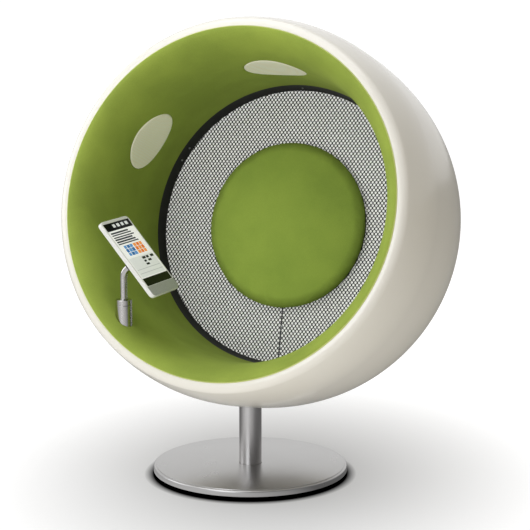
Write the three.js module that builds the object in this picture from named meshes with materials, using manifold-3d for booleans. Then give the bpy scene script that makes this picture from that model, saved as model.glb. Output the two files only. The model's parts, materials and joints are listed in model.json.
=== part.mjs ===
// Pod chair: a tilted ball-shaped pod on a swivel column, with speakers behind its upholstery
// and a tablet on an arm.
// Millimetres, +Z up. The pod's mouth faces -Y, and the origin is on the floor under the column.
import * as THREE from "three";
import { mergeVertices } from "three/addons/utils/BufferGeometryUtils.js";
import Module from "manifold-3d";

const wasm = await Module();
wasm.setup();

// Clearances
const clearance = 0.3; // between pieces that touch
const slideGap = 2; // between the shell and the column that passes through it
const overrun = 6; // how far a cutter runs past what it cuts
const weld = 0.001; // points nearer than this are one

// Facets round a revolved piece
const podFacets = 32;
const baseFacets = 34;
const tubeFacets = 20;
const speakerFacets = 12;
const smallFacets = 8;
const holeFacets = 6;
const loomFacets = 6;
const coverCurve = 10; // half the sides of an oval cover
const armCurve = 6; // half the sides of the arm's tube
const armSteps = 16;
const cornerCurve = 3; // sides of a corner of the tablet and its bracket
const screenCurve = 2; // sides of a corner of the screen
const edgeSteps = 2; // round the tablet's broken edge

// Pod: a shell of revolution whose axis leans back from the mouth
const podTilt = THREE.MathUtils.degToRad(16);
const shellRadius = 650;
const podClear = 236; // from the floor to a ball of the shell's radius about the pod's centre
const podCentreHeight = podClear + shellRadius;
const podCentreBack = 19;
const shellBackDepth = 700;
const shellBackPower = 2.9; // exponent of the superellipse behind the widest ring
const shellFrontBulge = 645; // radius of the arc in front of the widest ring
const shellFrontLength = 197; // from the widest ring to the start of the lip
const shellWall = 8;
const lipRound = 30;
const lipLand = 5; // flat of the lip between its crown and the upholstery

// Liner: a bell mouth that runs back into a nearly straight tunnel
const wallSpace = 145; // from the shell's widest ring in to the throat
const throatRadius = shellRadius - wallSpace;
const throatAxial = -39;
const tunnelTaper = 10;
const linerBackRadius = throatRadius - tunnelTaper;
const linerBackAxial = -285;
const linerProud = 3; // how far the upholstery's edge stands in front of the lip
const linerEdgeRound = 4;
const upholsteryThick = 16;
const carrierThick = 6;
const elbowAngle = 0.48; // on the bell mouth, where the carrier turns out to its flange
const elbowTurn = 0.03;

// Back cushion
const padRadius = 296;
const padDrawIn = 12; // at its back seam
const padRound = 26; // width of the round between its widest ring and its crown
const padWaist = padRadius - padDrawIn;
const padShoulder = padRadius - padRound;
const padWidestRise = 18; // from the cushion's back to its widest ring
const padShoulderRise = 42;
const padCrownRise = 58;
const padBulgeShares = [0.7, 0.42]; // of the draw-in, behind and in front of the widest ring
const padRiseShares = [0.4, 0.93]; // of the rise to the widest ring and to the shoulder
const padCrownSteps = 4;
const boardInset = 6; // the board's waist lies this far inside the cushion's
const boardFrontThick = 6;
const boardOverlap = 9; // how far the board's front step covers the grille's edge

// Back wall: black ring, perforated grille, white panel and bulkhead
const ringDepth = 43;
const ringWidth = 12; // as seen from the mouth
const grilleAxial = linerBackAxial - ringDepth;
const grilleThick = 1.5;
const grilleLap = 7; // how far the sheet runs on under its ring
const grilleVisibleRadius = linerBackRadius - ringWidth;
const grilleRadius = grilleVisibleRadius + grilleLap;
const grilleBoreRadius = padWaist - boardInset;
const grilleRoll = THREE.MathUtils.degToRad(1.7); // the sheet sits turned a little in its ring
const holeRadius = 25;
const holeAcross = 86; // from hole to hole in a row
const holeRow = 57; // from row to row
const holeMargin = 3;
const seamWidth = 1;
const screwRadius = 2;
const screwHeadRadius = 4;
const screwHead = 1.6;
const screwTopShare = 0.7;
const screwLength = 10;
const seamScrewShares = [0.375, 0.74]; // of the way down the seam from the cushion to the ring
const ringScrewSeat = 0.9; // the flat head stands this far off the curved face
const standoffDepth = 3; // air behind the grille
const panelThick = 3;
const bulkheadThick = 18;

// Speakers
const coverAxial = -55;
const coverHalfAxial = 95;
const coverHalfAcross = 110;
const coverProud = 1.5;
const coverSkin = 4;
const coverRim = 8;
const speakerAngle = THREE.MathUtils.degToRad(62);
const driver = { rim: 80, bore: 66, wall: 3, depth: 20, magnet: 38, magnetDepth: 10 };
const driverSeat = 6; // height of the carrier's boss over its widest ring
const driverMargin = 3; // of the boss round the driver's rim
const coneThick = 1.5;
const coneMouthShare = 0.85;
const coneCapShare = 0.25;
const coneDepthShare = 0.5;
const woofer = { rim: 100, bore: 76, wall: 3, depth: 38, magnet: 45, magnetDepth: 30 };
const wooferInset = 10; // from the tunnel's back edge in to the woofer's rim
const wooferPitch = linerBackRadius - wooferInset - woofer.rim; // from the pod's axis to the woofer's
const loomRadius = 4;
const loomSteps = 10;

// Electronics behind the bulkhead
const amplifierWidth = 200;
const amplifierHeight = 130;
const amplifierBody = 34;
const finDepth = 16;
const finThick = 4;
const finCount = 9;
const supplyWidth = 180;
const supplyHeight = 100;
const supplyDepth = 48;
const supplyFoot = 12;
const supplyFlange = 4;
const moduleGap = 130; // between amplifier and supply
const amplifierAcross = (moduleGap + amplifierWidth) / 2; // from the pod's axis to its middle
const supplyAcross = moduleGap / 2 + supplyFoot + supplyWidth / 2;
const moduleRaise = 40;
const inletShare = 0.8; // of the shell's depth behind its widest ring
const inletAxial = -inletShare * shellBackDepth;
const inletWidth = 50;
const inletHeight = 30;
const inletFlange = 3;
const inletBodyWidth = 38;
const inletBodyHeight = 24;
const inletCurve = 2;
const inletDepth = 32;
const socketWidth = 24;
const socketHeight = 16;
const socketDepth = 18;

// Seat support between carrier and shell
const ribThick = 18;
const ribAcross = 150;
const ribFront = 110;
const ribBack = -300;
const ribSink = 35;
const ribRise = throatRadius - ribSink; // the ribs lie lower than this below the pod's axis

// Base and column
const baseRadius = 330;
const footThick = 2;
const footInset = 24;
const footRadius = baseRadius - footInset;
const ballastThick = 12.6;
const coverThick = 3.5;
const rimLower = 0.7; // the cover's skirt stops this far above the ballast's underside
const rimWall = 3.5;
const rimStep = 7;
const rimGroove = 1.2;
const rimRound = 3;
const columnRadius = 38.05;
const columnWall = 3.2;
const columnInside = 34; // how far the column stands into the shell
const flangeReach = 52;
const flangeRadius = columnRadius + flangeReach;
const flangeThick = 6;
const baseBoltPitch = (columnRadius + flangeRadius) / 2;
const boltRadius = 5;
const boltHeadRadius = 8.5;
const boltHeadHeight = 5.4;
const boltCount = 3;

// Swivel
const columnBore = columnRadius - columnWall;
const bushWall = 9.65;
const spindleRadius = columnBore - clearance - bushWall - clearance;
const spindleLength = 180;
const bushFlange = 3.5;
const bushLength = 30;
const shoulderThick = 6;
const shoulderInset = 2;
const shoulderRadius = columnRadius - shoulderInset;
const saddleThick = 8;
const saddleReach = 67;
const saddleRadius = columnRadius + saddleReach;
const saddleBoltPitch = (columnRadius + saddleRadius) / 2;
const saddleBoltGrip = 14; // how deep a saddle bolt goes into the block
const blockMargin = 11;
const blockRadius = saddleRadius + blockMargin;

// Arm
const armInset = 303; // from the shell's widest ring in to the arm
const armX = armInset - shellRadius;
const armForward = 53; // of the place where the shell's front arc meets its lip
const armY = -shellFrontLength - armForward;
const armTubeRadius = 12;
const armBushWall = 2.7;
const socketBore = armTubeRadius + clearance + armBushWall + clearance;
const socketWall = 12.2;
const socketRadius = socketBore + socketWall;
const socketLength = 137.6;
const socketChamfer = 0.9;
const socketFloor = 8; // block left under the socket
const armBlockWall = 16.5;
const armBlockRadius = socketRadius + armBlockWall;
const armBlockGrip = 24; // how far the block reaches up round the socket
const armBushLength = 60;
const collarHeight = 18;
const setScrewRadius = 3;
const setScrewAngles = [244, 344].map(THREE.MathUtils.degToRad);
const setScrewShare = 0.6; // of the collar's height
const armTubeFoot = 2; // the tube runs this far below its bush
const armStraight = 92; // from the socket's top to the bend
const armBend = 40;
const armReach = 20; // straight end after the bend
const headWall = 3;
const headRadius = armTubeRadius + headWall;
const headCap = 4;
const headGrip = 12;
const tongueReach = 12.7;
const tongueRadius = 9;
const tongueThick = 10;
const pinRadius = 3;
const pinHead = 2;
const pinHeadRadius = 5;
const earThick = 4;
const bracketLength = 60;
const bracketWidth = 50;
const bracketPlate = 3;

// Tablet
const tabletSlope = THREE.MathUtils.degToRad(49.3); // of its long edge below level
const tabletLength = 301;
const tabletWidth = 186;
const tabletThick = 15.5;
const tabletCorner = 16;
const tabletEdge = 2;
const tabletOffset = 18; // from the tilt axis to the tablet's back
const tabletShift = 4.7; // its middle lies this far above the tilt axis, along its long edge
const bezelThick = 4;
const bezelSide = 7;
const caseWall = 2;
const caseSide = 4;
const displayLap = 2; // how far the display runs on under the bezel
const screenTop = 16; // bezel above the screen
const screenChin = 39; // and below it
const screenLength = tabletLength - screenTop - screenChin;
const screenWidth = tabletWidth - bezelSide * 2;
const screenCorner = 2;
const glassRecess = 0.3;

// Colour, roughness and metalness of each finish
const finishes = {
  gelcoat: [0xf1eee6, 0.22, 0],
  felt: [0x83a033, 0.95, 0],
  fibreglass: [0xb9b39b, 0.6, 0],
  plywood: [0xc9a36c, 0.7, 0],
  blackSteel: [0x141414, 0.5, 0.4],
  panelCloth: [0xf4f4f2, 0.9, 0],
  coverCloth: [0xd6d0b2, 0.75, 0],
  stainless: [0xb4b4b4, 0.3, 1],
  steel: [0x8c8f92, 0.45, 1],
  rubber: [0x111111, 0.85, 0],
  nylon: [0xe4e0d4, 0.5, 0],
  coneFibre: [0x2c2c2e, 0.9, 0],
  blackPlastic: [0x1d1d1f, 0.5, 0],
  whitePlastic: [0xf2f2f0, 0.35, 0],
  screenGlass: [0x0c0e10, 0.08, 0],
  heatsink: [0x303236, 0.4, 0.8],
};

// Solids

function solidFrom(geometry) {
  const bare = geometry.index ? geometry.toNonIndexed() : geometry.clone();
  bare.deleteAttribute("normal");
  bare.deleteAttribute("uv");
  const merged = mergeVertices(bare, weld);
  const vertProperties = merged.attributes.position.array;
  const triVerts = new Uint32Array(merged.index.array);
  return new wasm.Manifold(new wasm.Mesh({ numProp: 3, vertProperties, triVerts }));
}

function geometryFrom(solid) {
  const mesh = solid.getMesh();
  const geometry = new THREE.BufferGeometry();
  geometry.setAttribute("position", new THREE.BufferAttribute(mesh.vertProperties, 3));
  geometry.setIndex(new THREE.BufferAttribute(mesh.triVerts, 1));
  geometry.computeVertexNormals();
  return geometry;
}

// Twice the signed area that a profile of [radius, height] points encloses with the axis
function turnOf(profile) {
  return profile.reduce((sum, [r, h], i) => {
    const [nextR, nextH] = profile[(i + 1) % profile.length];
    return sum + r * nextH - nextR * h;
  }, 0);
}

// Revolves a profile of [radius, height] points about Y. A profile off the axis closes on itself.
function revolve(profile, facets, matrix = new THREE.Matrix4()) {
  const ordered = turnOf(profile) < 0 ? [...profile].reverse() : profile;
  const closed = ordered.every(([r]) => r > 0) ? [...ordered, ordered[0]] : ordered;
  const points = closed.map(([r, h]) => new THREE.Vector2(r, h));
  return solidFrom(new THREE.LatheGeometry(points, facets).applyMatrix4(matrix));
}

function rod(radius, low, high, facets, matrix) {
  const profile = [
    [0, low],
    [radius, low],
    [radius, high],
    [0, high],
  ];
  return revolve(profile, facets, matrix);
}

function tube(inner, outer, low, high, facets, matrix) {
  const profile = [
    [inner, low],
    [outer, low],
    [outer, high],
    [inner, high],
  ];
  return revolve(profile, facets, matrix);
}

function block(low, high, matrix = new THREE.Matrix4()) {
  const size = high.clone().sub(low);
  const middle = high.clone().add(low).divideScalar(2);
  const geometry = new THREE.BoxGeometry(...size.toArray()).translate(...middle.toArray());
  return solidFrom(geometry.applyMatrix4(matrix));
}

// Extrudes a shape along Z from low to high
function extrude(shape, low, high, matrix = new THREE.Matrix4(), curveSegments = smallFacets) {
  const options = { depth: high - low, bevelEnabled: false, curveSegments };
  const geometry = new THREE.ExtrudeGeometry(shape, options).translate(0, 0, low);
  return solidFrom(geometry.applyMatrix4(matrix));
}

function ellipseShape(halfX, halfY) {
  return new THREE.Shape().absellipse(0, 0, halfX, halfY, 0, 2 * Math.PI);
}

function roundedShape(length, width, corner, middleX = 0) {
  const x = length / 2 - corner;
  const y = width / 2 - corner;
  const corners = [
    [x, y],
    [-x, y],
    [-x, -y],
    [x, -y],
  ];
  const quarter = Math.PI / 2;
  return corners.reduce(
    (shape, [cornerX, cornerY], i) =>
      shape.absarc(middleX + cornerX, cornerY, corner, i * quarter, (i + 1) * quarter),
    new THREE.Shape(),
  );
}

const joined = (solids) => solids.reduce((sum, solid) => sum.add(solid));
const cut = (solid, cutters) => cutters.reduce((rest, cutter) => rest.subtract(cutter), solid);
const steps = (count) => Array.from({ length: count + 1 }, (_, i) => i / count);

function piece(group, name, solid, finish) {
  const [color, roughness, metalness] = finishes[finish];
  const material = new THREE.MeshStandardMaterial({ color, roughness, metalness });
  const mesh = new THREE.Mesh(geometryFrom(solid), material);
  mesh.name = name;
  group.add(mesh);
}

// Frames

// The pod's own frame: +Y is its axis towards the mouth, +X as in the room, and -Z is up along its mouth.
const podMatrix = new THREE.Matrix4()
  .makeTranslation(0, podCentreBack, podCentreHeight)
  .multiply(new THREE.Matrix4().makeRotationX(Math.PI - podTilt));
const intoPod = podMatrix.clone().invert();

// A vertical axis in the room, for a profile revolved about Y
function upright(x = 0, y = 0) {
  const standing = new THREE.Matrix4().makeRotationX(Math.PI / 2);
  return new THREE.Matrix4().makeTranslation(x, y, 0).multiply(standing);
}

const uprightInPod = (x = 0, y = 0) => intoPod.clone().multiply(upright(x, y));

// A frame on the pod's wall: its Z points outwards at the given angle from the top,
// its Y along the pod's axis.
function wallFrame(angle, axial) {
  const outward = new THREE.Vector3(Math.sin(angle), 0, -Math.cos(angle));
  const along = new THREE.Vector3(0, 1, 0);
  const across = along.clone().cross(outward);
  return new THREE.Matrix4().makeBasis(across, along, outward).setPosition(0, axial, 0);
}

// The same place for a profile revolved about Y, whose height then runs outwards
const wallSpindle = (angle, axial) =>
  wallFrame(angle, axial).multiply(new THREE.Matrix4().makeRotationX(Math.PI / 2));

// A flat shape's X and Y across and up the mouth, extruded along the pod's axis
const mouthFrame = new THREE.Matrix4().makeBasis(
  new THREE.Vector3(1, 0, 0),
  new THREE.Vector3(0, 0, -1),
  new THREE.Vector3(0, 1, 0),
);

// Pod shell

// Points of the wall, moved in by inset, from its back pole to the start of the lip
function wallCurve(inset, backSteps, frontSteps) {
  const radius = shellRadius - inset;
  const depth = shellBackDepth - inset;
  const power = 2 / shellBackPower;
  const back = steps(backSteps).map((share) => {
    const angle = (share * Math.PI) / 2;
    return share ? [radius * Math.sin(angle) ** power, -depth * Math.cos(angle) ** power] : [0, -depth];
  });
  back[backSteps] = [radius, 0];
  const length = lip.start[1] - inset * Math.sin(lip.angle);
  const front = steps(frontSteps).slice(1).map((share) => {
    const axial = share * length;
    return [radius * Math.sqrt(1 - (axial / (shellFrontBulge - inset)) ** 2), axial];
  });
  return [...back, ...front];
}

const lip = lipPlace();

// Where the front arc ends, the slope there, and the centre of the rolled lip that carries it on
function lipPlace() {
  const share = shellFrontLength / shellFrontBulge;
  const start = [shellRadius * Math.sqrt(1 - share ** 2), shellFrontLength];
  const angle = Math.atan((shellRadius * share) / (shellFrontBulge * Math.sqrt(1 - share ** 2)));
  const centre = [start[0] - lipRound * Math.cos(angle), start[1] - lipRound * Math.sin(angle)];
  return { start, angle, centre, crown: centre[1] + lipRound };
}

// The wall's radius at an axial place, moved in by inset
function wallRadius(axial, inset = 0) {
  const radius = shellRadius - inset;
  if (axial > 0) return radius * Math.sqrt(Math.max(0, 1 - (axial / (shellFrontBulge - inset)) ** 2));
  const share = Math.min(1, -axial / (shellBackDepth - inset));
  return radius * (1 - share ** shellBackPower) ** (1 / shellBackPower);
}

// Height over the floor, straight up from x, y, at which the pod's wall is met from below
function wallHeight(x, y, inset) {
  let low = 0;
  let high = podCentreHeight;
  while (high - low > weld) {
    const middle = (low + high) / 2;
    const point = new THREE.Vector3(x, y, middle).applyMatrix4(intoPod);
    if (Math.hypot(point.x, point.z) > wallRadius(point.y, inset)) low = middle;
    else high = middle;
  }
  return high;
}

// Liner

const edgeRadius = lip.centre[0] - lipLand; // of the rebate's side wall
const mouthFront = lip.crown + linerProud;
const mouthRadius = edgeRadius - clearance - linerEdgeRound; // where the bell mouth starts
const coneSlope = (throatRadius - linerBackRadius) / (throatAxial - linerBackAxial);
const coneRadius = (axial) => throatRadius + coneSlope * (axial - throatAxial);

// A point of the bell mouth at an angle from 0 at its edge to a right angle at the throat,
// moved outwards by depth
function bellPoint(angle, depth) {
  const halfAxial = mouthFront - throatAxial;
  const halfRadial = mouthRadius - throatRadius;
  const normal = new THREE.Vector2(halfAxial * Math.sin(angle), -halfRadial * Math.cos(angle));
  normal.normalize();
  return [
    mouthRadius - halfRadial * Math.sin(angle) + depth * normal.x,
    throatAxial + halfAxial * Math.cos(angle) + depth * normal.y,
  ];
}

function bellCurve(depth, fromAngle, count) {
  return steps(count).map((share) => bellPoint(fromAngle + share * (Math.PI / 2 - fromAngle), depth));
}

const carrierInset = upholsteryThick + clearance;
const elbow = bellPoint(elbowAngle, carrierInset + carrierThick);
const flangeCorner = bellPoint(elbowAngle - elbowTurn, carrierInset);
const flangeFront = elbow[1] - clearance; // front of the shell's inner flange, which the carrier bolts to
const bellSteps = 4;
const bellFaceSteps = 6;

// Bulkhead stack, from the grille backwards
const grilleBack = grilleAxial - grilleThick;
const panelFront = grilleBack - standoffDepth;
const bulkheadFront = panelFront - panelThick - clearance;
const bulkheadBack = bulkheadFront - bulkheadThick;
const carrierBack = bulkheadFront + clearance;

const lipSteps = 3;
const wallSteps = [7, 2]; // behind and in front of the widest ring

function shellProfile() {
  const arc = (radius, from, to, count) =>
    steps(count).map((share) => {
      const angle = from + share * (to - from);
      return [lip.centre[0] + radius * Math.cos(angle), lip.centre[1] + radius * Math.sin(angle)];
    });
  const webRadius = edgeRadius + shellWall;
  const innerEnd = Math.acos((webRadius - lip.centre[0]) / (lipRound - shellWall));
  return [
    ...wallCurve(0, ...wallSteps),
    ...arc(lipRound, lip.angle, Math.PI / 2, lipSteps).slice(1),
    [edgeRadius, lip.crown],
    [edgeRadius, flangeFront],
    [elbow[0] + clearance, flangeFront],
    [elbow[0] + clearance, flangeFront - shellWall],
    [webRadius, flangeFront - shellWall],
    ...arc(lipRound - shellWall, innerEnd, lip.angle, lipSteps),
    ...wallCurve(shellWall, ...wallSteps).reverse().slice(1),
  ];
}

// Everything inside the wall behind its flange, less a clearance: pieces that rest on the wall
// are cut to it.
const cavityFront = flangeFront - shellWall - clearance;
const cavity = revolve(
  [...wallCurve(shellWall + clearance, ...wallSteps), [0, lip.start[1]]],
  podFacets,
).intersect(rod(shellRadius, -shellBackDepth, cavityFront, podFacets));

function carrierProfile() {
  return [
    [edgeRadius - clearance, elbow[1]],
    elbow,
    ...bellCurve(carrierInset + carrierThick, elbowAngle, bellSteps).slice(1),
    [coneRadius(carrierBack) + carrierInset + carrierThick, carrierBack],
    [coneRadius(carrierBack) + carrierInset, carrierBack],
    ...bellCurve(carrierInset, elbowAngle, bellSteps).reverse(),
    flangeCorner,
    [edgeRadius - clearance, flangeCorner[1]],
  ];
}

function upholsteryProfile() {
  const edge = edgeRadius - clearance;
  const round = linerEdgeRound * (1 - Math.SQRT1_2);
  return [
    [edge, flangeCorner[1] + clearance],
    [edge, mouthFront - linerEdgeRound],
    [edge - round, mouthFront - round],
    ...bellCurve(0, 0, bellFaceSteps),
    [linerBackRadius, linerBackAxial],
    [linerBackRadius + upholsteryThick, linerBackAxial],
    ...bellCurve(upholsteryThick, elbowAngle, bellSteps).reverse(),
    [flangeCorner[0] - clearance, flangeCorner[1] + clearance],
  ];
}

// The space between the carrier and the shell, for what fills it
function outerSpace() {
  const depth = carrierInset + carrierThick + clearance;
  const envelope = [
    [0, elbow[1]],
    [bellPoint(elbowAngle, depth)[0], elbow[1]],
    ...bellCurve(depth, elbowAngle, bellSteps),
    [coneRadius(bulkheadBack) + depth, bulkheadBack],
    [0, bulkheadBack],
  ];
  return cavity.subtract(revolve(envelope, podFacets));
}

const speakers = { left: -speakerAngle, top: 0, right: speakerAngle };
const coverRadius = coneRadius(coverAxial);
const carrierOuter = coverRadius + carrierInset + carrierThick;
const bossTop = carrierOuter + driverSeat;

function speakerWindow(angle, grow, low, high) {
  const shape = ellipseShape(coverHalfAcross + grow, coverHalfAxial + grow);
  return extrude(shape, low, high, wallFrame(angle, coverAxial), coverCurve);
}

// A layer that follows the liner's face, from one depth to another, round the whole pod
function linerLayer(fromDepth, toDepth) {
  const curve = (depth) => [
    ...bellCurve(depth, elbowAngle, bellSteps),
    [linerBackRadius + depth, linerBackAxial],
  ];
  return revolve([...curve(toDepth), ...curve(fromDepth).reverse()], podFacets);
}

function speakerCover(angle) {
  const far = bossTop;
  const near = coverRadius / 2;
  const skin = speakerWindow(angle, 0, near, far).intersect(linerLayer(-coverProud, coverSkin));
  const rim = speakerWindow(angle, 0, near, far)
    .subtract(speakerWindow(angle, -coverRim, near - overrun, far + overrun))
    .intersect(linerLayer(0, upholsteryThick));
  return skin.add(rim);
}

// A loudspeaker's basket: its rim at height 0, its mouth, its slanted wall and its magnet behind
function basketProfile({ rim, bore, wall, depth, magnet, magnetDepth }) {
  return [
    [0, depth],
    [magnet, depth],
    [bore, wall * 2],
    [bore, 0],
    [rim, 0],
    [rim, wall],
    [bore + wall, wall],
    [bore + wall, wall * 2],
    [magnet + wall, depth],
    [magnet + wall, depth + magnetDepth],
    [0, depth + magnetDepth],
  ];
}

// Its cone, whose rim lies in the basket's mouth, with a dust cap at its centre
function coneProfile({ bore, wall, depth }) {
  const rim = bore - clearance;
  const apex = depth * coneDepthShare + wall;
  return [
    [0, apex - coneThick * 2],
    [rim * coneCapShare, apex - coneThick],
    [rim * coneMouthShare, wall - coneThick],
    [rim, wall - coneThick],
    [rim, wall],
    [rim * coneMouthShare, wall],
    [rim * coneCapShare, apex],
    [0, apex],
  ];
}

const driverFrame = (angle) =>
  wallSpindle(angle, coverAxial).multiply(new THREE.Matrix4().makeTranslation(0, bossTop + clearance, 0));

// The woofer faces forwards through the bulkhead, below the pod's axis.
const wooferFrame = new THREE.Matrix4()
  .makeTranslation(0, bulkheadBack - clearance, wooferPitch)
  .multiply(new THREE.Matrix4().makeRotationX(Math.PI));

function carrier() {
  const bosses = Object.values(speakers).map((angle) =>
    rod(driver.rim + driverMargin, coverRadius, bossTop, speakerFacets, wallSpindle(angle, coverAxial)),
  );
  const core = revolve([[0, carrierBack], ...innerFace(carrierInset), [0, elbow[1]]], podFacets);
  const holes = Object.values(speakers).map((angle) =>
    rod(driver.bore, coverRadius / 2, bossTop + overrun, speakerFacets, wallSpindle(angle, coverAxial)),
  );
  const walls = revolve(carrierProfile(), podFacets).add(joined(bosses).subtract(core));
  return cut(walls, [...holes, armHole()]);
}

// The liner's face, moved outwards, from its back edge to the elbow
function innerFace(depth) {
  return [
    [coneRadius(carrierBack) + depth, carrierBack],
    ...bellCurve(depth, elbowAngle, bellSteps).reverse(),
    [bellPoint(elbowAngle, depth)[0], elbow[1]],
  ];
}

function armHole(low = 0) {
  return rod(socketRadius + clearance, low, armSocketTop, tubeFacets, uprightInPod(armX, armY));
}

function upholstery() {
  const windows = Object.values(speakers).map((angle) =>
    speakerWindow(angle, clearance, coverRadius / 2, bossTop + overrun),
  );
  return cut(revolve(upholsteryProfile(), podFacets), [...windows, armHole()]);
}

// Back wall

const ringFront = linerBackAxial - clearance;
const ringBack = panelFront + clearance;
const ringOuter = (axial) => coneRadius(axial) + upholsteryThick;
const screwAxial = (ringFront + grilleAxial) / 2;
const ringScrewAngles = [0, -58.5, -64.5].map(THREE.MathUtils.degToRad);

// Radius of a facetted ring at an angle from the top
function facetRadius(radius, angle) {
  const facet = (2 * Math.PI) / podFacets;
  const part = (((angle % facet) + facet) % facet) - facet / 2;
  return (radius * Math.cos(facet / 2)) / Math.cos(part);
}

// The ring's inner face tapers back, and its screws stand square to it.
const ringTaper =
  (linerBackRadius + clearance - grilleVisibleRadius) / (ringFront - grilleAxial - clearance);

function ringScrewMatrix(angle) {
  const face = linerBackRadius + clearance + ringTaper * (screwAxial - ringFront);
  return wallFrame(angle, screwAxial)
    .multiply(new THREE.Matrix4().makeTranslation(0, 0, facetRadius(face, angle)))
    .multiply(new THREE.Matrix4().makeRotationX(Math.PI / 2 + Math.atan(ringTaper)));
}

function ringFrame() {
  const lipBack = grilleAxial + clearance;
  const profile = [
    [linerBackRadius + clearance, ringFront],
    [ringOuter(ringFront), ringFront],
    [ringOuter(ringBack), ringBack],
    [grilleRadius + clearance, ringBack],
    [grilleRadius + clearance, lipBack],
    [grilleVisibleRadius, lipBack],
  ];
  const holes = ringScrewAngles.map((angle) =>
    rod(screwRadius + clearance, -overrun, screwLength, smallFacets, ringScrewMatrix(angle)),
  );
  return cut(revolve(profile, podFacets), holes);
}

// A pan-head screw along Y, its head's underside at low and its shank running on from there
function screwSolid(low, length, matrix) {
  const profile = [
    [0, low - screwHead],
    [screwHeadRadius * screwTopShare, low - screwHead],
    [screwHeadRadius, low - screwHead / 2],
    [screwHeadRadius, low],
    [screwRadius, low],
    [screwRadius, low + length],
    [0, low + length],
  ];
  return revolve(profile, smallFacets, matrix);
}

const ringScrew = (angle) => screwSolid(-ringScrewSeat, screwLength, ringScrewMatrix(angle));

// The grille's own frame, flat across the mouth and turned in its ring
const grilleFrame = mouthFrame.clone().multiply(new THREE.Matrix4().makeRotationZ(grilleRoll));

// A spindle square to the grille at x, y of its own frame, running backwards from its front
const grilleSpindle = (x, y) =>
  grilleFrame
    .clone()
    .multiply(new THREE.Matrix4().makeTranslation(x, y, grilleAxial))
    .multiply(new THREE.Matrix4().makeRotationX(-Math.PI / 2));

// Holes in staggered rows, kept clear of the sheet's edges and its seam
function grilleHoles() {
  const rows = Math.ceil(grilleRadius / holeRow);
  const columns = Math.ceil(grilleRadius / holeAcross);
  const inner = grilleBoreRadius + boardOverlap + holeRadius + holeMargin;
  const outer = grilleVisibleRadius - holeRadius - holeMargin;
  const holes = [];
  for (let row = -rows; row <= rows; row++) {
    const stagger = row % 2 ? holeAcross / 4 : -holeAcross / 4;
    for (let column = -columns; column <= columns; column++) {
      const x = column * holeAcross + stagger;
      const y = row * holeRow;
      const distance = Math.hypot(x, y);
      const onSeam = y < 0 && Math.abs(x) < holeRadius + holeMargin;
      if (distance < inner || distance > outer || onSeam) continue;
      holes.push(rod(holeRadius, -overrun, overrun, holeFacets, grilleSpindle(x, y)));
    }
  }
  return holes;
}

function grille() {
  const sheet = tube(grilleBoreRadius, grilleRadius, grilleBack, grilleAxial, podFacets);
  const seam = block(
    new THREE.Vector3(-seamWidth / 2, -grilleRadius - overrun, grilleBack - overrun),
    new THREE.Vector3(seamWidth / 2, -grilleBoreRadius / 2, grilleAxial + overrun),
    grilleFrame,
  );
  return cut(sheet, [...grilleHoles(), seam, ...seamScrewHoles()]);
}

const seamScrewMatrix = (radius) => grilleSpindle(screwHeadRadius, -radius);
const seamScrewLength = clearance + grilleThick + standoffDepth + panelThick;

const seamScrewRadii = seamScrewShares.map(
  (share) => grilleBoreRadius + share * (grilleVisibleRadius - grilleBoreRadius),
);

const seamScrewHoles = () =>
  seamScrewRadii.map((radius) => {
    const length = seamScrewLength + overrun;
    return rod(screwRadius + clearance, -overrun, length, smallFacets, seamScrewMatrix(radius));
  });

const seamScrew = (radius) => screwSolid(-clearance, seamScrewLength, seamScrewMatrix(radius));

function backingPanel() {
  const back = panelFront - panelThick;
  const profile = [
    [0, back],
    [ringOuter(back), back],
    [ringOuter(panelFront), panelFront],
    [0, panelFront],
  ];
  return cut(revolve(profile, podFacets), seamScrewHoles());
}

function bulkhead() {
  const disc = rod(shellRadius, bulkheadBack, bulkheadFront, podFacets);
  const reach = bulkheadThick + overrun;
  const opening = rod(woofer.bore, -reach, overrun, speakerFacets, wooferFrame);
  return cut(disc.intersect(cavity), [opening, loomHole()]);
}

// Back cushion

const boardFront = grilleAxial + clearance + boardFrontThick;

function padBoard() {
  const waist = grilleBoreRadius - clearance;
  const step = grilleBoreRadius + boardOverlap;
  const profile = [
    [0, panelFront + clearance],
    [waist, panelFront + clearance],
    [waist, grilleAxial + clearance],
    [step, grilleAxial + clearance],
    [step, boardFront],
    [0, boardFront],
  ];
  return revolve(profile, podFacets);
}

// The cushion is drawn in at its back and front seams, widest between them, and crowned.
function padCushion() {
  const back = boardFront + clearance;
  const [backBulge, frontBulge] = padBulgeShares.map((share) => share * padDrawIn);
  const [backRise, frontRise] = padRiseShares;
  const crown = steps(padCrownSteps).slice(1).map((share) => {
    const rise = padShoulderRise + (padCrownRise - padShoulderRise) * Math.sin((share * Math.PI) / 2);
    return [padShoulder * (1 - share), back + rise];
  });
  const profile = [
    [0, back],
    [padWaist, back],
    [padWaist + backBulge, back + padWidestRise * backRise],
    [padRadius, back + padWidestRise],
    [padRadius - frontBulge, back + (padWidestRise + padShoulderRise) / 2],
    [padShoulder + backBulge, back + padShoulderRise * frontRise],
    [padShoulder, back + padShoulderRise],
    ...crown,
  ];
  return revolve(profile, podFacets);
}

// Electronics

// A heatsink housing: one comb-shaped outline, extruded up the bulkhead
function amplifier() {
  const back = bulkheadBack - clearance;
  const fins = back - amplifierBody;
  const pitch = (amplifierWidth - finThick) / (finCount - 1);
  const left = -amplifierWidth / 2;
  const shape = new THREE.Shape().moveTo(left, back);
  for (let i = 0; i < finCount; i++) {
    const x = left + i * pitch;
    if (i) shape.lineTo(x, fins);
    shape.lineTo(x, fins - finDepth).lineTo(x + finThick, fins - finDepth);
    if (i < finCount - 1) shape.lineTo(x + finThick, fins);
  }
  shape.lineTo(-left, back);
  return extrude(shape, moduleRaise - amplifierHeight, moduleRaise).translate(-amplifierAcross, 0, 0);
}

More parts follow.
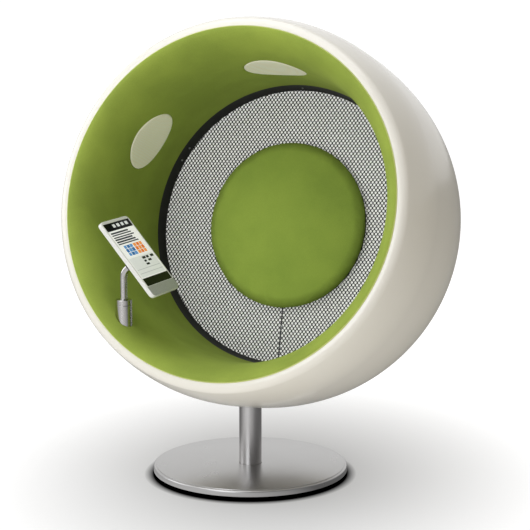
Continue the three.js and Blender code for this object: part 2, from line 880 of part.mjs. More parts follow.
function powerSupply() {
  const back = bulkheadBack - clearance;
  const half = supplyWidth / 2;
  const foot = half + supplyFoot;
  const shape = new THREE.Shape().moveTo(-foot, back).lineTo(-foot, back - supplyFlange);
  shape.lineTo(-half, back - supplyFlange).lineTo(-half, back - supplyDepth);
  shape.lineTo(half, back - supplyDepth).lineTo(half, back - supplyFlange);
  shape.lineTo(foot, back - supplyFlange).lineTo(foot, back);
  return extrude(shape, moduleRaise - supplyHeight, moduleRaise).translate(supplyAcross, 0, 0);
}

// The loom: up the bulkhead's back from the woofer past the amplifier, through a hole at the top,
// round the bulkhead's front, and forwards to the magnet of each driver.
const loomReach = bossTop + clearance + driver.depth + driver.magnetDepth + clearance + loomRadius;
const loomBack = bulkheadBack - clearance - loomRadius;
const loomFront = bulkheadFront + clearance + loomRadius;

function loomLength(from, to) {
  const along = to.clone().sub(from);
  const spindleWay = new THREE.Vector3(0, 1, 0);
  const turn = new THREE.Quaternion().setFromUnitVectors(spindleWay, along.clone().normalize());
  const matrix = new THREE.Matrix4().makeRotationFromQuaternion(turn).setPosition(from);
  return rod(loomRadius, 0, along.length(), loomFacets, matrix);
}

const loomHole = () =>
  rod(loomRadius + clearance, bulkheadBack - overrun, bulkheadFront + overrun, smallFacets, loomTop);

const loomTop = new THREE.Matrix4().makeTranslation(0, 0, -loomReach);

function speakerHarness() {
  const wooferTop = new THREE.Vector3(0, loomBack, wooferPitch - woofer.rim - clearance);
  const behind = new THREE.Vector3(0, loomBack, -loomReach);
  const through = new THREE.Vector3(0, loomFront, -loomReach);
  const sides = [-1, 1].map((side) => new THREE.Vector3(side * (moduleGap / 2 - clearance), loomBack, 0));
  const ends = [-1, 1].map((side) => Math.PI / 2 + side * speakerAngle);
  const arc = new THREE.EllipseCurve(0, 0, loomReach, loomReach, ...ends);
  const path = new THREE.CatmullRomCurve3(
    arc.getPoints(loomSteps).map(({ x, y }) => new THREE.Vector3(x, loomFront, -y)),
  );
  const section = ellipseShape(loomRadius, loomRadius);
  const round = new THREE.ExtrudeGeometry(section, {
    steps: loomSteps,
    extrudePath: path,
    curveSegments: loomFacets / 2,
  });
  const branches = Object.values(speakers).map((angle) => {
    const frame = wallFrame(angle, 0);
    const from = new THREE.Vector3(0, loomFront, loomReach).applyMatrix4(frame);
    const to = new THREE.Vector3(0, coverAxial, loomReach).applyMatrix4(frame);
    return loomLength(from, to);
  });
  return joined([
    solidFrom(round),
    loomLength(wooferTop, behind),
    loomLength(behind, through),
    loomLength(...sides),
    ...branches,
  ]);
}

// The mains inlet sits square to the wall, low in the pod's back.
function inletFrame() {
  const radius = wallRadius(inletAxial);
  const power = shellBackPower - 1;
  const normal = new THREE.Vector3(
    0,
    -((-inletAxial / shellBackDepth) ** power) / shellBackDepth,
    (radius / shellRadius) ** power / shellRadius,
  ).normalize();
  const across = new THREE.Vector3(1, 0, 0);
  const up = normal.clone().cross(across);
  return new THREE.Matrix4().makeBasis(across, up, normal).setPosition(0, inletAxial, radius);
}

function boxAbout(width, height, low, high, matrix) {
  const corner = new THREE.Vector3(-width / 2, -height / 2, low);
  return block(corner, new THREE.Vector3(width / 2, height / 2, high), matrix);
}

function powerInlet() {
  const frame = inletFrame();
  const face = clearance + inletFlange;
  const outline = roundedShape(inletWidth, inletHeight, inletFlange);
  const flange = extrude(outline, clearance, face, frame, inletCurve);
  const body = boxAbout(inletBodyWidth, inletBodyHeight, -inletDepth, clearance + inletFlange / 2, frame);
  const socket = boxAbout(socketWidth, socketHeight, face - socketDepth, face + overrun, frame);
  return flange.add(body).subtract(socket);
}

function inletHole() {
  const width = inletBodyWidth + clearance * 2;
  const height = inletBodyHeight + clearance * 2;
  return boxAbout(width, height, -inletDepth - overrun, overrun, inletFrame());
}

// Seat ribs and blocks

const space = outerSpace();

function seatRib(side) {
  const middle = side * ribAcross;
  const low = new THREE.Vector3(middle - ribThick / 2, ribBack, ribRise);
  const high = new THREE.Vector3(middle + ribThick / 2, ribFront, shellRadius + overrun);
  return space.intersect(block(low, high));
}

const shellFloor = wallHeight(0, 0, shellWall);
const columnTop = shellFloor + columnInside;
const shoulderLow = columnTop + bushFlange + clearance * 2;
const saddleLow = shoulderLow + shoulderThick + clearance;
const blockTop = saddleLow - clearance;

const boltTurns = steps(boltCount).slice(1).map((share) => share * 2 * Math.PI + Math.PI / 2);

const boltPlaces = (pitch) => boltTurns.map((turn) => [pitch * Math.cos(turn), pitch * Math.sin(turn)]);

function bottomBlock() {
  const puck = rod(blockRadius, 0, blockTop, tubeFacets, uprightInPod());
  const bore = rod(columnRadius + slideGap, -overrun, blockTop + overrun, tubeFacets, uprightInPod());
  const holes = boltPlaces(saddleBoltPitch).map(([x, y]) => {
    const low = saddleLow - saddleBoltGrip - clearance * 2;
    return rod(boltRadius + clearance, low, blockTop + overrun, smallFacets, uprightInPod(x, y));
  });
  return cut(space.intersect(puck), [bore, ...holes]);
}

function saddlePlate() {
  const bore = saddleBore + clearance;
  const top = saddleLow + saddleThick;
  const plate = tube(bore, saddleRadius, saddleLow, top, tubeFacets, uprightInPod());
  const holes = boltPlaces(saddleBoltPitch).map(([x, y]) =>
    rod(boltRadius + clearance, saddleLow - overrun, top + overrun, smallFacets, uprightInPod(x, y)),
  );
  return cut(plate, holes);
}

function saddleBolt([x, y]) {
  const seat = saddleLow + saddleThick + clearance;
  const profile = [
    [0, saddleLow - saddleBoltGrip],
    [boltRadius, saddleLow - saddleBoltGrip],
    [boltRadius, seat],
    [boltHeadRadius, seat],
    [boltHeadRadius, seat + boltHeadHeight],
    [0, seat + boltHeadHeight],
  ];
  return revolve(profile, smallFacets, uprightInPod(x, y));
}

const saddleBore = shoulderRadius / 2;

function spindle() {
  const profile = [
    [0, columnTop - spindleLength],
    [spindleRadius, columnTop - spindleLength],
    [spindleRadius, shoulderLow],
    [shoulderRadius, shoulderLow],
    [shoulderRadius, shoulderLow + shoulderThick],
    [saddleBore, shoulderLow + shoulderThick],
    [saddleBore, saddleLow + saddleThick],
    [0, saddleLow + saddleThick],
  ];
  return revolve(profile, tubeFacets, uprightInPod());
}

function outerShell() {
  const hole = rod(columnRadius + slideGap, 0, columnTop, tubeFacets, uprightInPod());
  return cut(revolve(shellProfile(), podFacets), [hole, inletHole(), armHole(armSocketLow - clearance)]);
}

// Arm socket in the pod

// The wall rises under the socket, so the socket stops above its highest point.
const armFloor = Math.max(
  ...steps(tubeFacets).map((share) => {
    const turn = share * 2 * Math.PI;
    const x = armX + socketRadius * Math.cos(turn);
    return wallHeight(x, armY + socketRadius * Math.sin(turn), shellWall);
  }),
);
const armSocketLow = armFloor + socketFloor;
const armSocketTop = armSocketLow + socketLength;

function armBlock() {
  const puck = rod(armBlockRadius, 0, armSocketLow + armBlockGrip, tubeFacets, uprightInPod(armX, armY));
  return space.intersect(puck).subtract(armHole(armSocketLow - clearance));
}

function armSocket() {
  const profile = [
    [socketBore, armSocketLow],
    [socketRadius, armSocketLow],
    [socketRadius, armSocketTop - socketChamfer],
    [socketRadius - socketChamfer, armSocketTop],
    [socketBore, armSocketTop],
  ];
  return revolve(profile, tubeFacets, uprightInPod(armX, armY));
}

function armBush() {
  const inner = armTubeRadius + clearance;
  const outer = socketBore - clearance;
  const low = armSocketTop - armBushLength;
  return tube(inner, outer, low, armSocketTop - clearance, tubeFacets, uprightInPod(armX, armY));
}

// Base

const ballastLow = footThick + clearance;
const flangeLow = ballastLow + ballastThick + clearance;
const coverLow = flangeLow + flangeThick + clearance;
const baseTop = coverLow + coverThick;

function baseCover() {
  const hole = columnRadius + clearance;
  const groove = baseTop - rimGroove;
  const skirt = ballastLow + rimLower;
  const profile = [
    [hole, baseTop],
    [baseRadius - rimStep, baseTop],
    [baseRadius - rimStep + rimGroove, groove],
    [baseRadius - rimRound, groove],
    [baseRadius - rimRound * (1 - Math.SQRT1_2), groove - rimRound * (1 - Math.SQRT1_2)],
    [baseRadius, groove - rimRound],
    [baseRadius, skirt + rimGroove],
    [baseRadius - rimGroove, skirt],
    [baseRadius - rimWall, skirt],
    [baseRadius - rimWall, coverLow],
    [hole, coverLow],
  ];
  return revolve(profile, baseFacets, upright());
}

const countersink = ballastLow + boltHeadHeight + clearance * 2;

function baseBallast() {
  const radius = baseRadius - rimWall - clearance;
  const disc = rod(radius, ballastLow, ballastLow + ballastThick, baseFacets, upright());
  const holes = boltPlaces(baseBoltPitch).flatMap(([x, y]) => [
    rod(boltHeadRadius + clearance, ballastLow - overrun, countersink, smallFacets, upright(x, y)),
    rod(boltRadius + clearance, ballastLow, flangeLow + overrun, smallFacets, upright(x, y)),
  ]);
  return cut(disc, holes);
}

function baseBolt([x, y]) {
  const profile = [
    [0, ballastLow + clearance],
    [boltHeadRadius, ballastLow + clearance],
    [boltHeadRadius, countersink - clearance],
    [boltRadius, countersink - clearance],
    [boltRadius, flangeLow + flangeThick],
    [0, flangeLow + flangeThick],
  ];
  return revolve(profile, smallFacets, upright(x, y));
}

function columnTube() {
  const flangeTop = flangeLow + flangeThick;
  const profile = [
    [columnBore, flangeLow],
    [flangeRadius, flangeLow],
    [flangeRadius, flangeTop],
    [columnRadius, flangeTop],
    [columnRadius, columnTop],
    [columnBore, columnTop],
  ];
  const holes = boltPlaces(baseBoltPitch).map(([x, y]) =>
    rod(boltRadius + clearance, flangeLow - overrun, flangeTop + overrun, smallFacets, upright(x, y)),
  );
  return cut(revolve(profile, tubeFacets, upright()), holes);
}

function lowerBush() {
  const low = columnTop - spindleLength + clearance;
  const outer = columnBore - clearance;
  return tube(spindleRadius + clearance, outer, low, low + bushLength, tubeFacets, upright());
}

function upperBush() {
  const outer = columnBore - clearance;
  const seat = columnTop + clearance;
  const profile = [
    [spindleRadius + clearance, seat - bushLength],
    [outer, seat - bushLength],
    [outer, seat],
    [columnRadius, seat],
    [columnRadius, seat + bushFlange],
    [spindleRadius + clearance, seat + bushFlange],
  ];
  return revolve(profile, tubeFacets, upright());
}

// Arm

const collarLow = armSocketTop + clearance;
const bendLow = armSocketTop + armStraight;
const armDirection = new THREE.Vector3(Math.sin(tabletSlope), 0, Math.cos(tabletSlope));
const bendEnd = new THREE.Vector3(
  armX + armBend * (1 - Math.cos(tabletSlope)),
  armY,
  bendLow + armBend * Math.sin(tabletSlope),
);
const hingePlace = bendEnd.clone().addScaledVector(armDirection, armReach + headCap + tongueReach);

function armTube() {
  const start = new THREE.Vector3(armX, armY, armSocketTop - armBushLength - armTubeFoot);
  const low = new THREE.Vector3(armX, armY, bendLow);
  const corner = new THREE.Vector3(armX, armY, bendLow + armBend * Math.tan(tabletSlope / 2));
  const end = bendEnd.clone().addScaledVector(armDirection, armReach);
  const path = new THREE.CurvePath();
  path.add(new THREE.LineCurve3(start, low));
  path.add(new THREE.QuadraticBezierCurve3(low, corner, bendEnd));
  path.add(new THREE.LineCurve3(bendEnd, end));
  const section = ellipseShape(armTubeRadius, armTubeRadius);
  const geometry = new THREE.ExtrudeGeometry(section, {
    steps: armSteps,
    extrudePath: path,
    curveSegments: armCurve,
  });
  return solidFrom(geometry);
}

function setScrewMatrix(angle) {
  return new THREE.Matrix4()
    .makeTranslation(armX, armY, collarLow + collarHeight * setScrewShare)
    .multiply(new THREE.Matrix4().makeRotationZ(angle - Math.PI / 2));
}

function armCollar() {
  const inner = armTubeRadius + clearance;
  const collarTop = collarLow + collarHeight;
  const profile = [
    [inner, collarLow],
    [socketRadius - socketChamfer, collarLow],
    [socketRadius, collarLow + socketChamfer],
    [socketRadius, collarTop - socketChamfer],
    [socketRadius - socketChamfer, collarTop],
    [inner, collarTop],
  ];
  const far = socketRadius + overrun;
  const holes = setScrewAngles.map((angle) =>
    rod(setScrewRadius + clearance, armTubeRadius, far, smallFacets, setScrewMatrix(angle)),
  );
  return cut(revolve(profile, tubeFacets, upright(armX, armY)), holes);
}

function setScrew(angle) {
  const inner = armTubeRadius + clearance;
  return rod(setScrewRadius, inner, socketRadius - clearance, smallFacets, setScrewMatrix(angle));
}

// The hinge's frame at rest: X down the tablet's long edge, Y the tilt axis, Z out of the screen
const hingeMatrix = new THREE.Matrix4()
  .makeTranslation(hingePlace.x, hingePlace.y, hingePlace.z)
  .multiply(new THREE.Matrix4().makeRotationY(tabletSlope));
const alongHinge = hingeMatrix.clone().multiply(new THREE.Matrix4().makeRotationX(Math.PI / 2));

// A tab with a round end about the tilt axis, as wide as that end, reaching along the frame's Z
function hingeTab(radius, reach, thick, middle) {
  const shape = new THREE.Shape().moveTo(-radius, 0).lineTo(-radius, reach);
  shape.lineTo(radius, reach).lineTo(radius, 0);
  const back = reach > 0 ? [0, -Math.PI, true] : [0, Math.PI, false];
  shape.absarc(0, 0, radius, ...back);
  const flat = hingeMatrix.clone().multiply(new THREE.Matrix4().makeRotationX(Math.PI / 2));
  return extrude(shape, -middle - thick / 2, -middle + thick / 2, flat, smallFacets / 2);
}

const pinHole = (half) => rod(pinRadius + clearance, -half, half, smallFacets, hingeMatrix);

function tiltHead() {
  const capLow = -tongueReach - headCap;
  const cup = revolve(
    [
      [0, capLow + clearance],
      [armTubeRadius + clearance, capLow + clearance],
      [armTubeRadius + clearance, capLow - headGrip],
      [headRadius, capLow - headGrip],
      [headRadius, -tongueReach],
      [0, -tongueReach],
    ],
    tubeFacets,
    alongHinge,
  );
  const tongue = hingeTab(tongueRadius, -tongueReach - clearance, tongueThick, 0);
  return cup.add(tongue).subtract(pinHole(tongueThick));
}

function tabletBracket() {
  const plateTop = tabletOffset - clearance;
  const plate = extrude(
    roundedShape(bracketLength, bracketWidth, tongueRadius / 2),
    plateTop - bracketPlate,
    plateTop,
    hingeMatrix,
    cornerCurve,
  );
  const middle = tongueThick / 2 + clearance + earThick / 2;
  const reach = plateTop - clearance;
  const ears = [-middle, middle].map((side) => hingeTab(tongueRadius, reach, earThick, side));
  return plate.add(joined(ears)).subtract(pinHole(middle + earThick));
}

function tiltPin() {
  const half = tongueThick / 2 + clearance + earThick + clearance;
  const profile = [
    [0, -half - pinHead],
    [pinHeadRadius, -half - pinHead],
    [pinHeadRadius, -half],
    [pinRadius, -half],
    [pinRadius, half],
    [pinHeadRadius, half],
    [pinHeadRadius, half + pinHead],
    [0, half + pinHead],
  ];
  return revolve(profile, smallFacets, hingeMatrix);
}

// Tablet

const tabletSplit = tabletOffset + tabletThick - bezelThick; // height of the joint between case and bezel
const screenMiddle = -tabletShift - tabletLength / 2 + screenTop + screenLength / 2;

// The whole tablet as one slab with its edges broken
function tabletSlab() {
  const length = tabletLength - tabletEdge * 2;
  const width = tabletWidth - tabletEdge * 2;
  const shape = roundedShape(length, width, tabletCorner - tabletEdge, -tabletShift);
  const geometry = new THREE.ExtrudeGeometry(shape, {
    depth: tabletThick - tabletEdge * 2,
    bevelThickness: tabletEdge,
    bevelSize: tabletEdge,
    bevelSegments: edgeSteps,
    curveSegments: cornerCurve,
  });
  return solidFrom(geometry.translate(0, 0, tabletOffset + tabletEdge).applyMatrix4(hingeMatrix));
}

function tabletBlock(low, high) {
  const length = tabletLength + (tabletShift + overrun) * 2;
  return boxAbout(length, tabletWidth + overrun, low, high, hingeMatrix);
}

function tabletCase() {
  const inside = roundedShape(
    tabletLength - caseSide * 2,
    tabletWidth - caseSide * 2,
    tabletCorner - caseSide,
    -tabletShift,
  );
  const cavityLow = tabletOffset + caseWall;
  return tabletSlab()
    .intersect(tabletBlock(tabletOffset - overrun, tabletSplit - clearance))
    .subtract(extrude(inside, cavityLow, tabletSplit + overrun, hingeMatrix, cornerCurve));
}

function tabletBezel() {
  const window = roundedShape(screenLength, screenWidth, screenCorner, screenMiddle);
  const high = tabletSplit + bezelThick + overrun;
  return tabletSlab()
    .intersect(tabletBlock(tabletSplit, high))
    .subtract(extrude(window, tabletSplit - overrun, high, hingeMatrix, screenCurve));
}

function tabletDisplay() {
  const low = tabletOffset + caseWall + clearance;
  const length = screenLength + displayLap * 2;
  const shape = roundedShape(length, screenWidth + displayLap * 2, screenCorner, screenMiddle);
  return extrude(shape, low, tabletSplit - clearance, hingeMatrix, screenCurve / 2);
}

function tabletGlass() {
  const shape = roundedShape(
    screenLength - clearance * 2,
    screenWidth - clearance * 2,
    screenCorner - clearance,
    screenMiddle,
  );
  return extrude(shape, tabletSplit, tabletSplit + bezelThick - glassRecess, hingeMatrix, screenCurve);
}

// Assembly

function buildBase(root) {
  piece(root, "foot_pad", rod(footRadius, 0, footThick, baseFacets, upright()), "rubber");
  piece(root, "base_ballast", baseBallast(), "steel");
  piece(root, "base_cover", baseCover(), "stainless");
  piece(root, "column_tube", columnTube(), "stainless");
  piece(root, "lower_bush", lowerBush(), "nylon");
  piece(root, "upper_bush", upperBush(), "nylon");
  boltPlaces(baseBoltPitch).forEach((place, i) => {
    piece(root, "base_bolt_" + (i + 1), baseBolt(place), "steel");
  });
}

function buildPod(pod) {
  piece(pod, "spindle", spindle(), "steel");
  piece(pod, "saddle_plate", saddlePlate(), "steel");
  boltPlaces(saddleBoltPitch).forEach((place, i) => {
    piece(pod, "saddle_bolt_" + (i + 1), saddleBolt(place), "steel");
  });
  piece(pod, "bottom_block", bottomBlock(), "plywood");
  piece(pod, "outer_shell", outerShell(), "gelcoat");
  piece(pod, "liner_carrier", carrier(), "fibreglass");
  piece(pod, "liner_upholstery", upholstery(), "felt");
  piece(pod, "seat_rib_left", seatRib(-1), "plywood");
  piece(pod, "seat_rib_right", seatRib(1), "plywood");
  piece(pod, "back_bulkhead", bulkhead(), "plywood");
  piece(pod, "backing_panel", backingPanel(), "panelCloth");
  piece(pod, "ring_frame", ringFrame(), "blackSteel");
  ringScrewAngles.forEach((angle, i) => {
    piece(pod, "ring_screw_" + (i + 1), ringScrew(angle), "steel");
  });
  piece(pod, "grille", grille(), "blackSteel");
  seamScrewRadii.forEach((radius, i) => {
    piece(pod, "seam_screw_" + (i + 1), seamScrew(radius), "steel");
  });
  piece(pod, "pad_board", padBoard(), "plywood");
  piece(pod, "pad_cushion", padCushion(), "felt");
  for (const [place, angle] of Object.entries(speakers)) {
    piece(pod, "speaker_cover_" + place, speakerCover(angle), "coverCloth");
    const frame = driverFrame(angle);
    const basket = revolve(basketProfile(driver), speakerFacets, frame);
    piece(pod, "driver_basket_" + place, basket, "blackSteel");
    const cone = revolve(coneProfile(driver), speakerFacets, frame);
    piece(pod, "driver_cone_" + place, cone, "coneFibre");
  }
  piece(pod, "woofer_basket", revolve(basketProfile(woofer), speakerFacets, wooferFrame), "blackSteel");
  piece(pod, "woofer_cone", revolve(coneProfile(woofer), speakerFacets, wooferFrame), "coneFibre");
  piece(pod, "amplifier", amplifier(), "heatsink");
  piece(pod, "power_supply", powerSupply(), "blackPlastic");
  piece(pod, "speaker_harness", speakerHarness(), "rubber");
  piece(pod, "power_inlet", powerInlet(), "blackPlastic");
  piece(pod, "arm_block", armBlock(), "plywood");
  piece(pod, "arm_socket", armSocket(), "stainless");
  piece(pod, "arm_bush", armBush(), "nylon");
}

function buildArm(root) {
  piece(root, "arm_tube", armTube(), "stainless");
  piece(root, "arm_collar", armCollar(), "stainless");
  setScrewAngles.forEach((angle, i) => {
    piece(root, "set_screw_" + (i + 1), setScrew(angle), "steel");
  });
  piece(root, "tilt_head", tiltHead(), "blackPlastic");
  piece(root, "tilt_pin", tiltPin(), "steel");
}

function buildTablet(root) {
  piece(root, "tablet_bracket", tabletBracket(), "steel");
  piece(root, "tablet_case", tabletCase(), "whitePlastic");
  piece(root, "tablet_display", tabletDisplay(), "blackPlastic");
  piece(root, "tablet_bezel", tabletBezel(), "whitePlastic");
  piece(root, "tablet_glass", tabletGlass(), "screenGlass");
}

const chair = new THREE.Group();
const pod = new THREE.Group();
pod.applyMatrix4(podMatrix);
chair.add(pod);
buildBase(chair);
buildPod(pod);
buildArm(chair);
buildTablet(chair);

export default chair;
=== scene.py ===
"""Looks of the pod chair: a moulded pod lined with felt, on a steel column and disc. Sizes are in
millimetres until a mesh or a shader takes them."""

import json
import math

import bmesh
import bpy
import numpy as np
from mathutils import Matrix, Vector


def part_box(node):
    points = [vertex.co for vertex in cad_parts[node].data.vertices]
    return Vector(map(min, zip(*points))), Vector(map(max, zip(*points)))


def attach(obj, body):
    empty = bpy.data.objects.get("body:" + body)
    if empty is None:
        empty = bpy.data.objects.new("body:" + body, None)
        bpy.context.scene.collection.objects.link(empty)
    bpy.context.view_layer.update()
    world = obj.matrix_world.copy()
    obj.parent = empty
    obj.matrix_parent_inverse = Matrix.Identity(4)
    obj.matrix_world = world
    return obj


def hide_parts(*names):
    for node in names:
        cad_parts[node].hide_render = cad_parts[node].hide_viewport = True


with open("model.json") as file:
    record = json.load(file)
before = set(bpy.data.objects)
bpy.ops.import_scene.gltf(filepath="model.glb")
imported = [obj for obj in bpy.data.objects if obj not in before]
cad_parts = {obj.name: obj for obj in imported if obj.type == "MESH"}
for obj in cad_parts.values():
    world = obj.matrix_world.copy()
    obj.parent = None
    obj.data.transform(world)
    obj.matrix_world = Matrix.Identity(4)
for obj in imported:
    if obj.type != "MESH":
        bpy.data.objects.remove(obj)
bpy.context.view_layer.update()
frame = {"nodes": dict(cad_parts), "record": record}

MM = 0.001

# Sizes in millimetres, as in the part
TILT = math.radians(16)
POD_CENTRE = np.array([0, 19, 886.0])
SHELL_RADIUS, SHELL_BACK, SHELL_POWER = 650, 700, 2.9
SHELL_BULGE, SHELL_FRONT, SHELL_WALL = 645, 197, 8
LIP_ROUND, LIP_LAND = 30, 5
THROAT_RADIUS, THROAT_AXIAL = 505, -39
LINER_BACK_RADIUS, LINER_BACK_AXIAL = 495, -285
LINER_PROUD, LINER_EDGE, UPHOLSTERY, CARRIER = 3, 4, 16, 6
CLEARANCE = 0.3
GRILLE_AXIAL, GRILLE_THICK = -328, 1.5
GRILLE_VISIBLE, GRILLE_RADIUS, GRILLE_BORE = 483, 490, 278
GRILLE_ROLL = math.radians(1.7)
HOLE_PITCH, ROW_PITCH, HOLE_HALF = 13.5, 9.0, np.array([4.75, 4.95])
PAD_RADIUS, PAD_TURN, PAD_HALF_SIDE, PAD_RISE, PAD_BOARD = 298, 262, 20, 55, 6
COVER_AXIAL, COVER_HALF_AXIAL, COVER_HALF_ACROSS, COVER_PROUD = -55, 95, 110, 1.5
SPEAKER_ANGLE = math.radians(62)
ARM = np.array([-347.0, -250.0])
TABLET_SLOPE = math.radians(49.3)
TABLET_LENGTH, TABLET_WIDTH, TABLET_THICK, TABLET_CORNER, TABLET_EDGE = 301, 186, 15.5, 16, 2
TABLET_OFFSET, BEZEL_THICK, CASE_WALL, TABLET_SHIFT = 18, 4, 2, -4.7
SCREEN_LENGTH, SCREEN_WIDTH, SCREEN_TOP = 251, 173, 11
BASE_RADIUS, BASE_LOW, BASE_TOP, BASE_SHEET = 330, 3.0, 25.0, 3.5
FOOT_RADIUS, FOOT_THICK = 306, 2
COLUMN_RADIUS, COLUMN_BORE, FLANGE_RADIUS, FLANGE_THICK = 38.05, 34.85, 90, 6
ARM_TUBE, BUSH_RADIUS, SOCKET_RADIUS = 12, 15, 27.5
HEAD_TOP, HEAD_WALL = 12.7, 3.7

# Steps of a full turn
POD_TURNS, RING_TURNS, COVER_TURNS, PAD_TURNS, PANEL_TURNS = 288, 256, 160, 160, 192
COLUMN_TURNS, SOCKET_TURNS, TUBE_TURNS = 128, 96, 48

# Where most of a noise's values lie
NOISE = 0.3, 0.7
# Sockets of the two colours of a Mix node
FIRST_COLOUR, SECOND_COLOUR = 6, 7

# The pod's own directions: out of its mouth, across it, and up along it
OUT = np.array([0, -math.cos(TILT), math.sin(TILT)])
ACROSS = np.array([1.0, 0, 0])
UP = np.array([0, math.sin(TILT), math.cos(TILT)])
ROOM_UP = np.array([0, 0, 1.0])


# Meshes


def linear(colour):
    """sRGB hex to linear RGBA."""
    parts = np.array([colour >> 16 & 255, colour >> 8 & 255, colour & 255]) / 255
    low = parts / 12.92
    high = ((parts + 0.055) / 1.055) ** 2.4
    return (*np.where(parts <= 0.04045, low, high), 1.0)


def quads(rows, columns, wrap_rows, wrap_columns):
    """Faces between neighbouring points of a grid, which may join up at its ends."""
    index = np.arange(rows * columns).reshape(rows, columns)
    if wrap_rows:
        index = np.vstack([index, index[:1]])
    if wrap_columns:
        index = np.hstack([index, index[:, :1]])
    corners = [index[:-1, :-1], index[1:, :-1], index[1:, 1:], index[:-1, 1:]]
    return np.stack([c.ravel() for c in corners], axis=1)


def linked(name, data):
    """A new object in the scene."""
    made = bpy.data.objects.new(name, data)
    bpy.context.scene.collection.objects.link(made)
    return made


def plain_object(name, points, faces):
    """A mesh object of points in millimetres."""
    mesh = bpy.data.meshes.new(name)
    mesh.from_pydata((np.asarray(points).reshape(-1, 3) * MM).tolist(), [], faces.tolist())
    return linked(name, mesh)


def object_from(name, points, faces, sharp=35):
    """The same, settled."""
    return settled(plain_object(name, points, faces), sharp)


def settled(made, sharp=35):
    """Merges doubles, turns the faces out and shades them smooth between sharper folds."""
    work = bmesh.new()
    work.from_mesh(made.data)
    bmesh.ops.remove_doubles(work, verts=work.verts, dist=2e-6)
    bmesh.ops.recalc_face_normals(work, faces=work.faces)
    work.to_mesh(made.data)
    work.free()
    made.data.polygons.foreach_set("use_smooth", np.ones(len(made.data.polygons), bool))
    made.data.set_sharp_from_angle(angle=math.radians(sharp))
    return made


def revolved(name, profile, origin, axis, side, turns, closed=False):
    """A profile of (radius, height) carried round an axis: origin + height * axis + radius * (cos t
    * side + sin t * axis x side), for t from 0 to a full turn."""
    radius, height = np.asarray(profile, float).T
    turn = np.linspace(0, 2 * math.pi, turns, endpoint=False)[:, None, None]
    ring = np.cos(turn) * side + np.sin(turn) * np.cross(axis, side)
    points = origin + height[None, :, None] * axis + radius[None, :, None] * ring
    return object_from(name, points, quads(turns, len(radius), True, closed))


def in_pod(name, profile, turns, closed=False):
    """The same about the pod's axis, where height runs out of the mouth."""
    return revolved(name, profile, POD_CENTRE, OUT, UP, turns, closed)


def upright(name, profile, turns, closed=False, x=0.0, y=0.0):
    """The same about a vertical line."""
    return revolved(name, profile, np.array([x, y, 0.0]), ROOM_UP, ACROSS, turns, closed)


def arc(centre, radius, start, end, count):
    """Points on a circle from one angle to another."""
    angle = np.linspace(start, end, count)
    return np.array(centre) + radius * np.stack([np.cos(angle), np.sin(angle)], axis=1)


def cut_by(made, *cutters):
    """Takes closed shapes out of a piece and removes them."""
    for cutter in cutters:
        modifier = made.modifiers.new("cut", "BOOLEAN")
        modifier.object = cutter
        modifier.solver = "EXACT"
    return applied(made, cutters)


def applied(made, leftovers=()):
    """Replaces a piece's mesh by what its modifiers make of it."""
    graph = bpy.context.evaluated_depsgraph_get()
    mesh = bpy.data.meshes.new_from_object(made.evaluated_get(graph))
    made.modifiers.clear()
    made.data = mesh
    for other in leftovers:
        bpy.data.objects.remove(other)
    return made


def stacked(name, rings, matrix, closed=False):
    """Outlines at heights in a frame, joined one to the next."""
    layers = [np.column_stack([ring, np.full(len(ring), height)]) for ring, height in rings]
    points = placed(np.stack(layers), matrix)
    return object_from(name, points, quads(len(layers), len(layers[0]), closed, True))


def prism(name, outline, low, high, matrix):
    """A closed outline of points in a frame's X and Y, carried along its Z from low to high."""
    outline = np.asarray(outline, float)
    middle = outline.mean(axis=0) + 0 * outline
    ends = [(middle, low), (outline, low), (outline, high), (middle, high)]
    return stacked(name, ends, matrix)


def placed(points, matrix):
    """Points in millimetres moved by a 4 x 4 matrix."""
    turn = np.array(matrix, float)
    return points @ turn[:3, :3].T + turn[:3, 3]


def frame_of(across, along, outward, origin):
    """A matrix from three directions and a place."""
    made = np.eye(4)
    made[:3, :3] = np.column_stack([across, along, outward])
    made[:3, 3] = origin
    return made


def paint(made, material):
    """Gives a piece its material."""
    made.data.materials.clear()
    made.data.materials.append(material)


def show(made, body, slot, material, *nodes):
    """Puts a finished piece on its body, in place of the part's own nodes."""
    paint(made, material)
    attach(made, body)
    if nodes:
        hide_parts(*nodes)
    return made


# Pod shapes


def wall(inset, count):
    """The shell's wall from its back pole to the lip, moved in: a superellipse, then an arc."""
    radius, depth, power = SHELL_RADIUS - inset, SHELL_BACK - inset, 2 / SHELL_POWER
    angle = np.linspace(0, math.pi / 2, count)
    back = np.stack([radius * np.sin(angle) ** power, -depth * np.cos(angle) ** power], axis=1)
    back[-1] = radius, 0
    axial = np.linspace(0, 1, count // 3)[1:] * (SHELL_FRONT - inset * math.sin(LIP_ANGLE))
    front = np.stack([radius * np.sqrt(1 - (axial / (SHELL_BULGE - inset)) ** 2), axial], axis=1)
    return np.vstack([back, front])


LIP_SHARE = SHELL_FRONT / SHELL_BULGE
LIP_ANGLE = math.atan(SHELL_RADIUS * LIP_SHARE / (SHELL_BULGE * math.sqrt(1 - LIP_SHARE**2)))
LIP_CENTRE = np.array(
    [
        SHELL_RADIUS * math.sqrt(1 - LIP_SHARE**2) - LIP_ROUND * math.cos(LIP_ANGLE),
        SHELL_FRONT - LIP_ROUND * math.sin(LIP_ANGLE),
    ]
)
CROWN = LIP_CENTRE[1] + LIP_ROUND
EDGE_RADIUS = LIP_CENTRE[0] - LIP_LAND
MOUTH_FRONT = CROWN + LINER_PROUD
MOUTH_RADIUS = EDGE_RADIUS - CLEARANCE - LINER_EDGE
ELBOW = 0.48


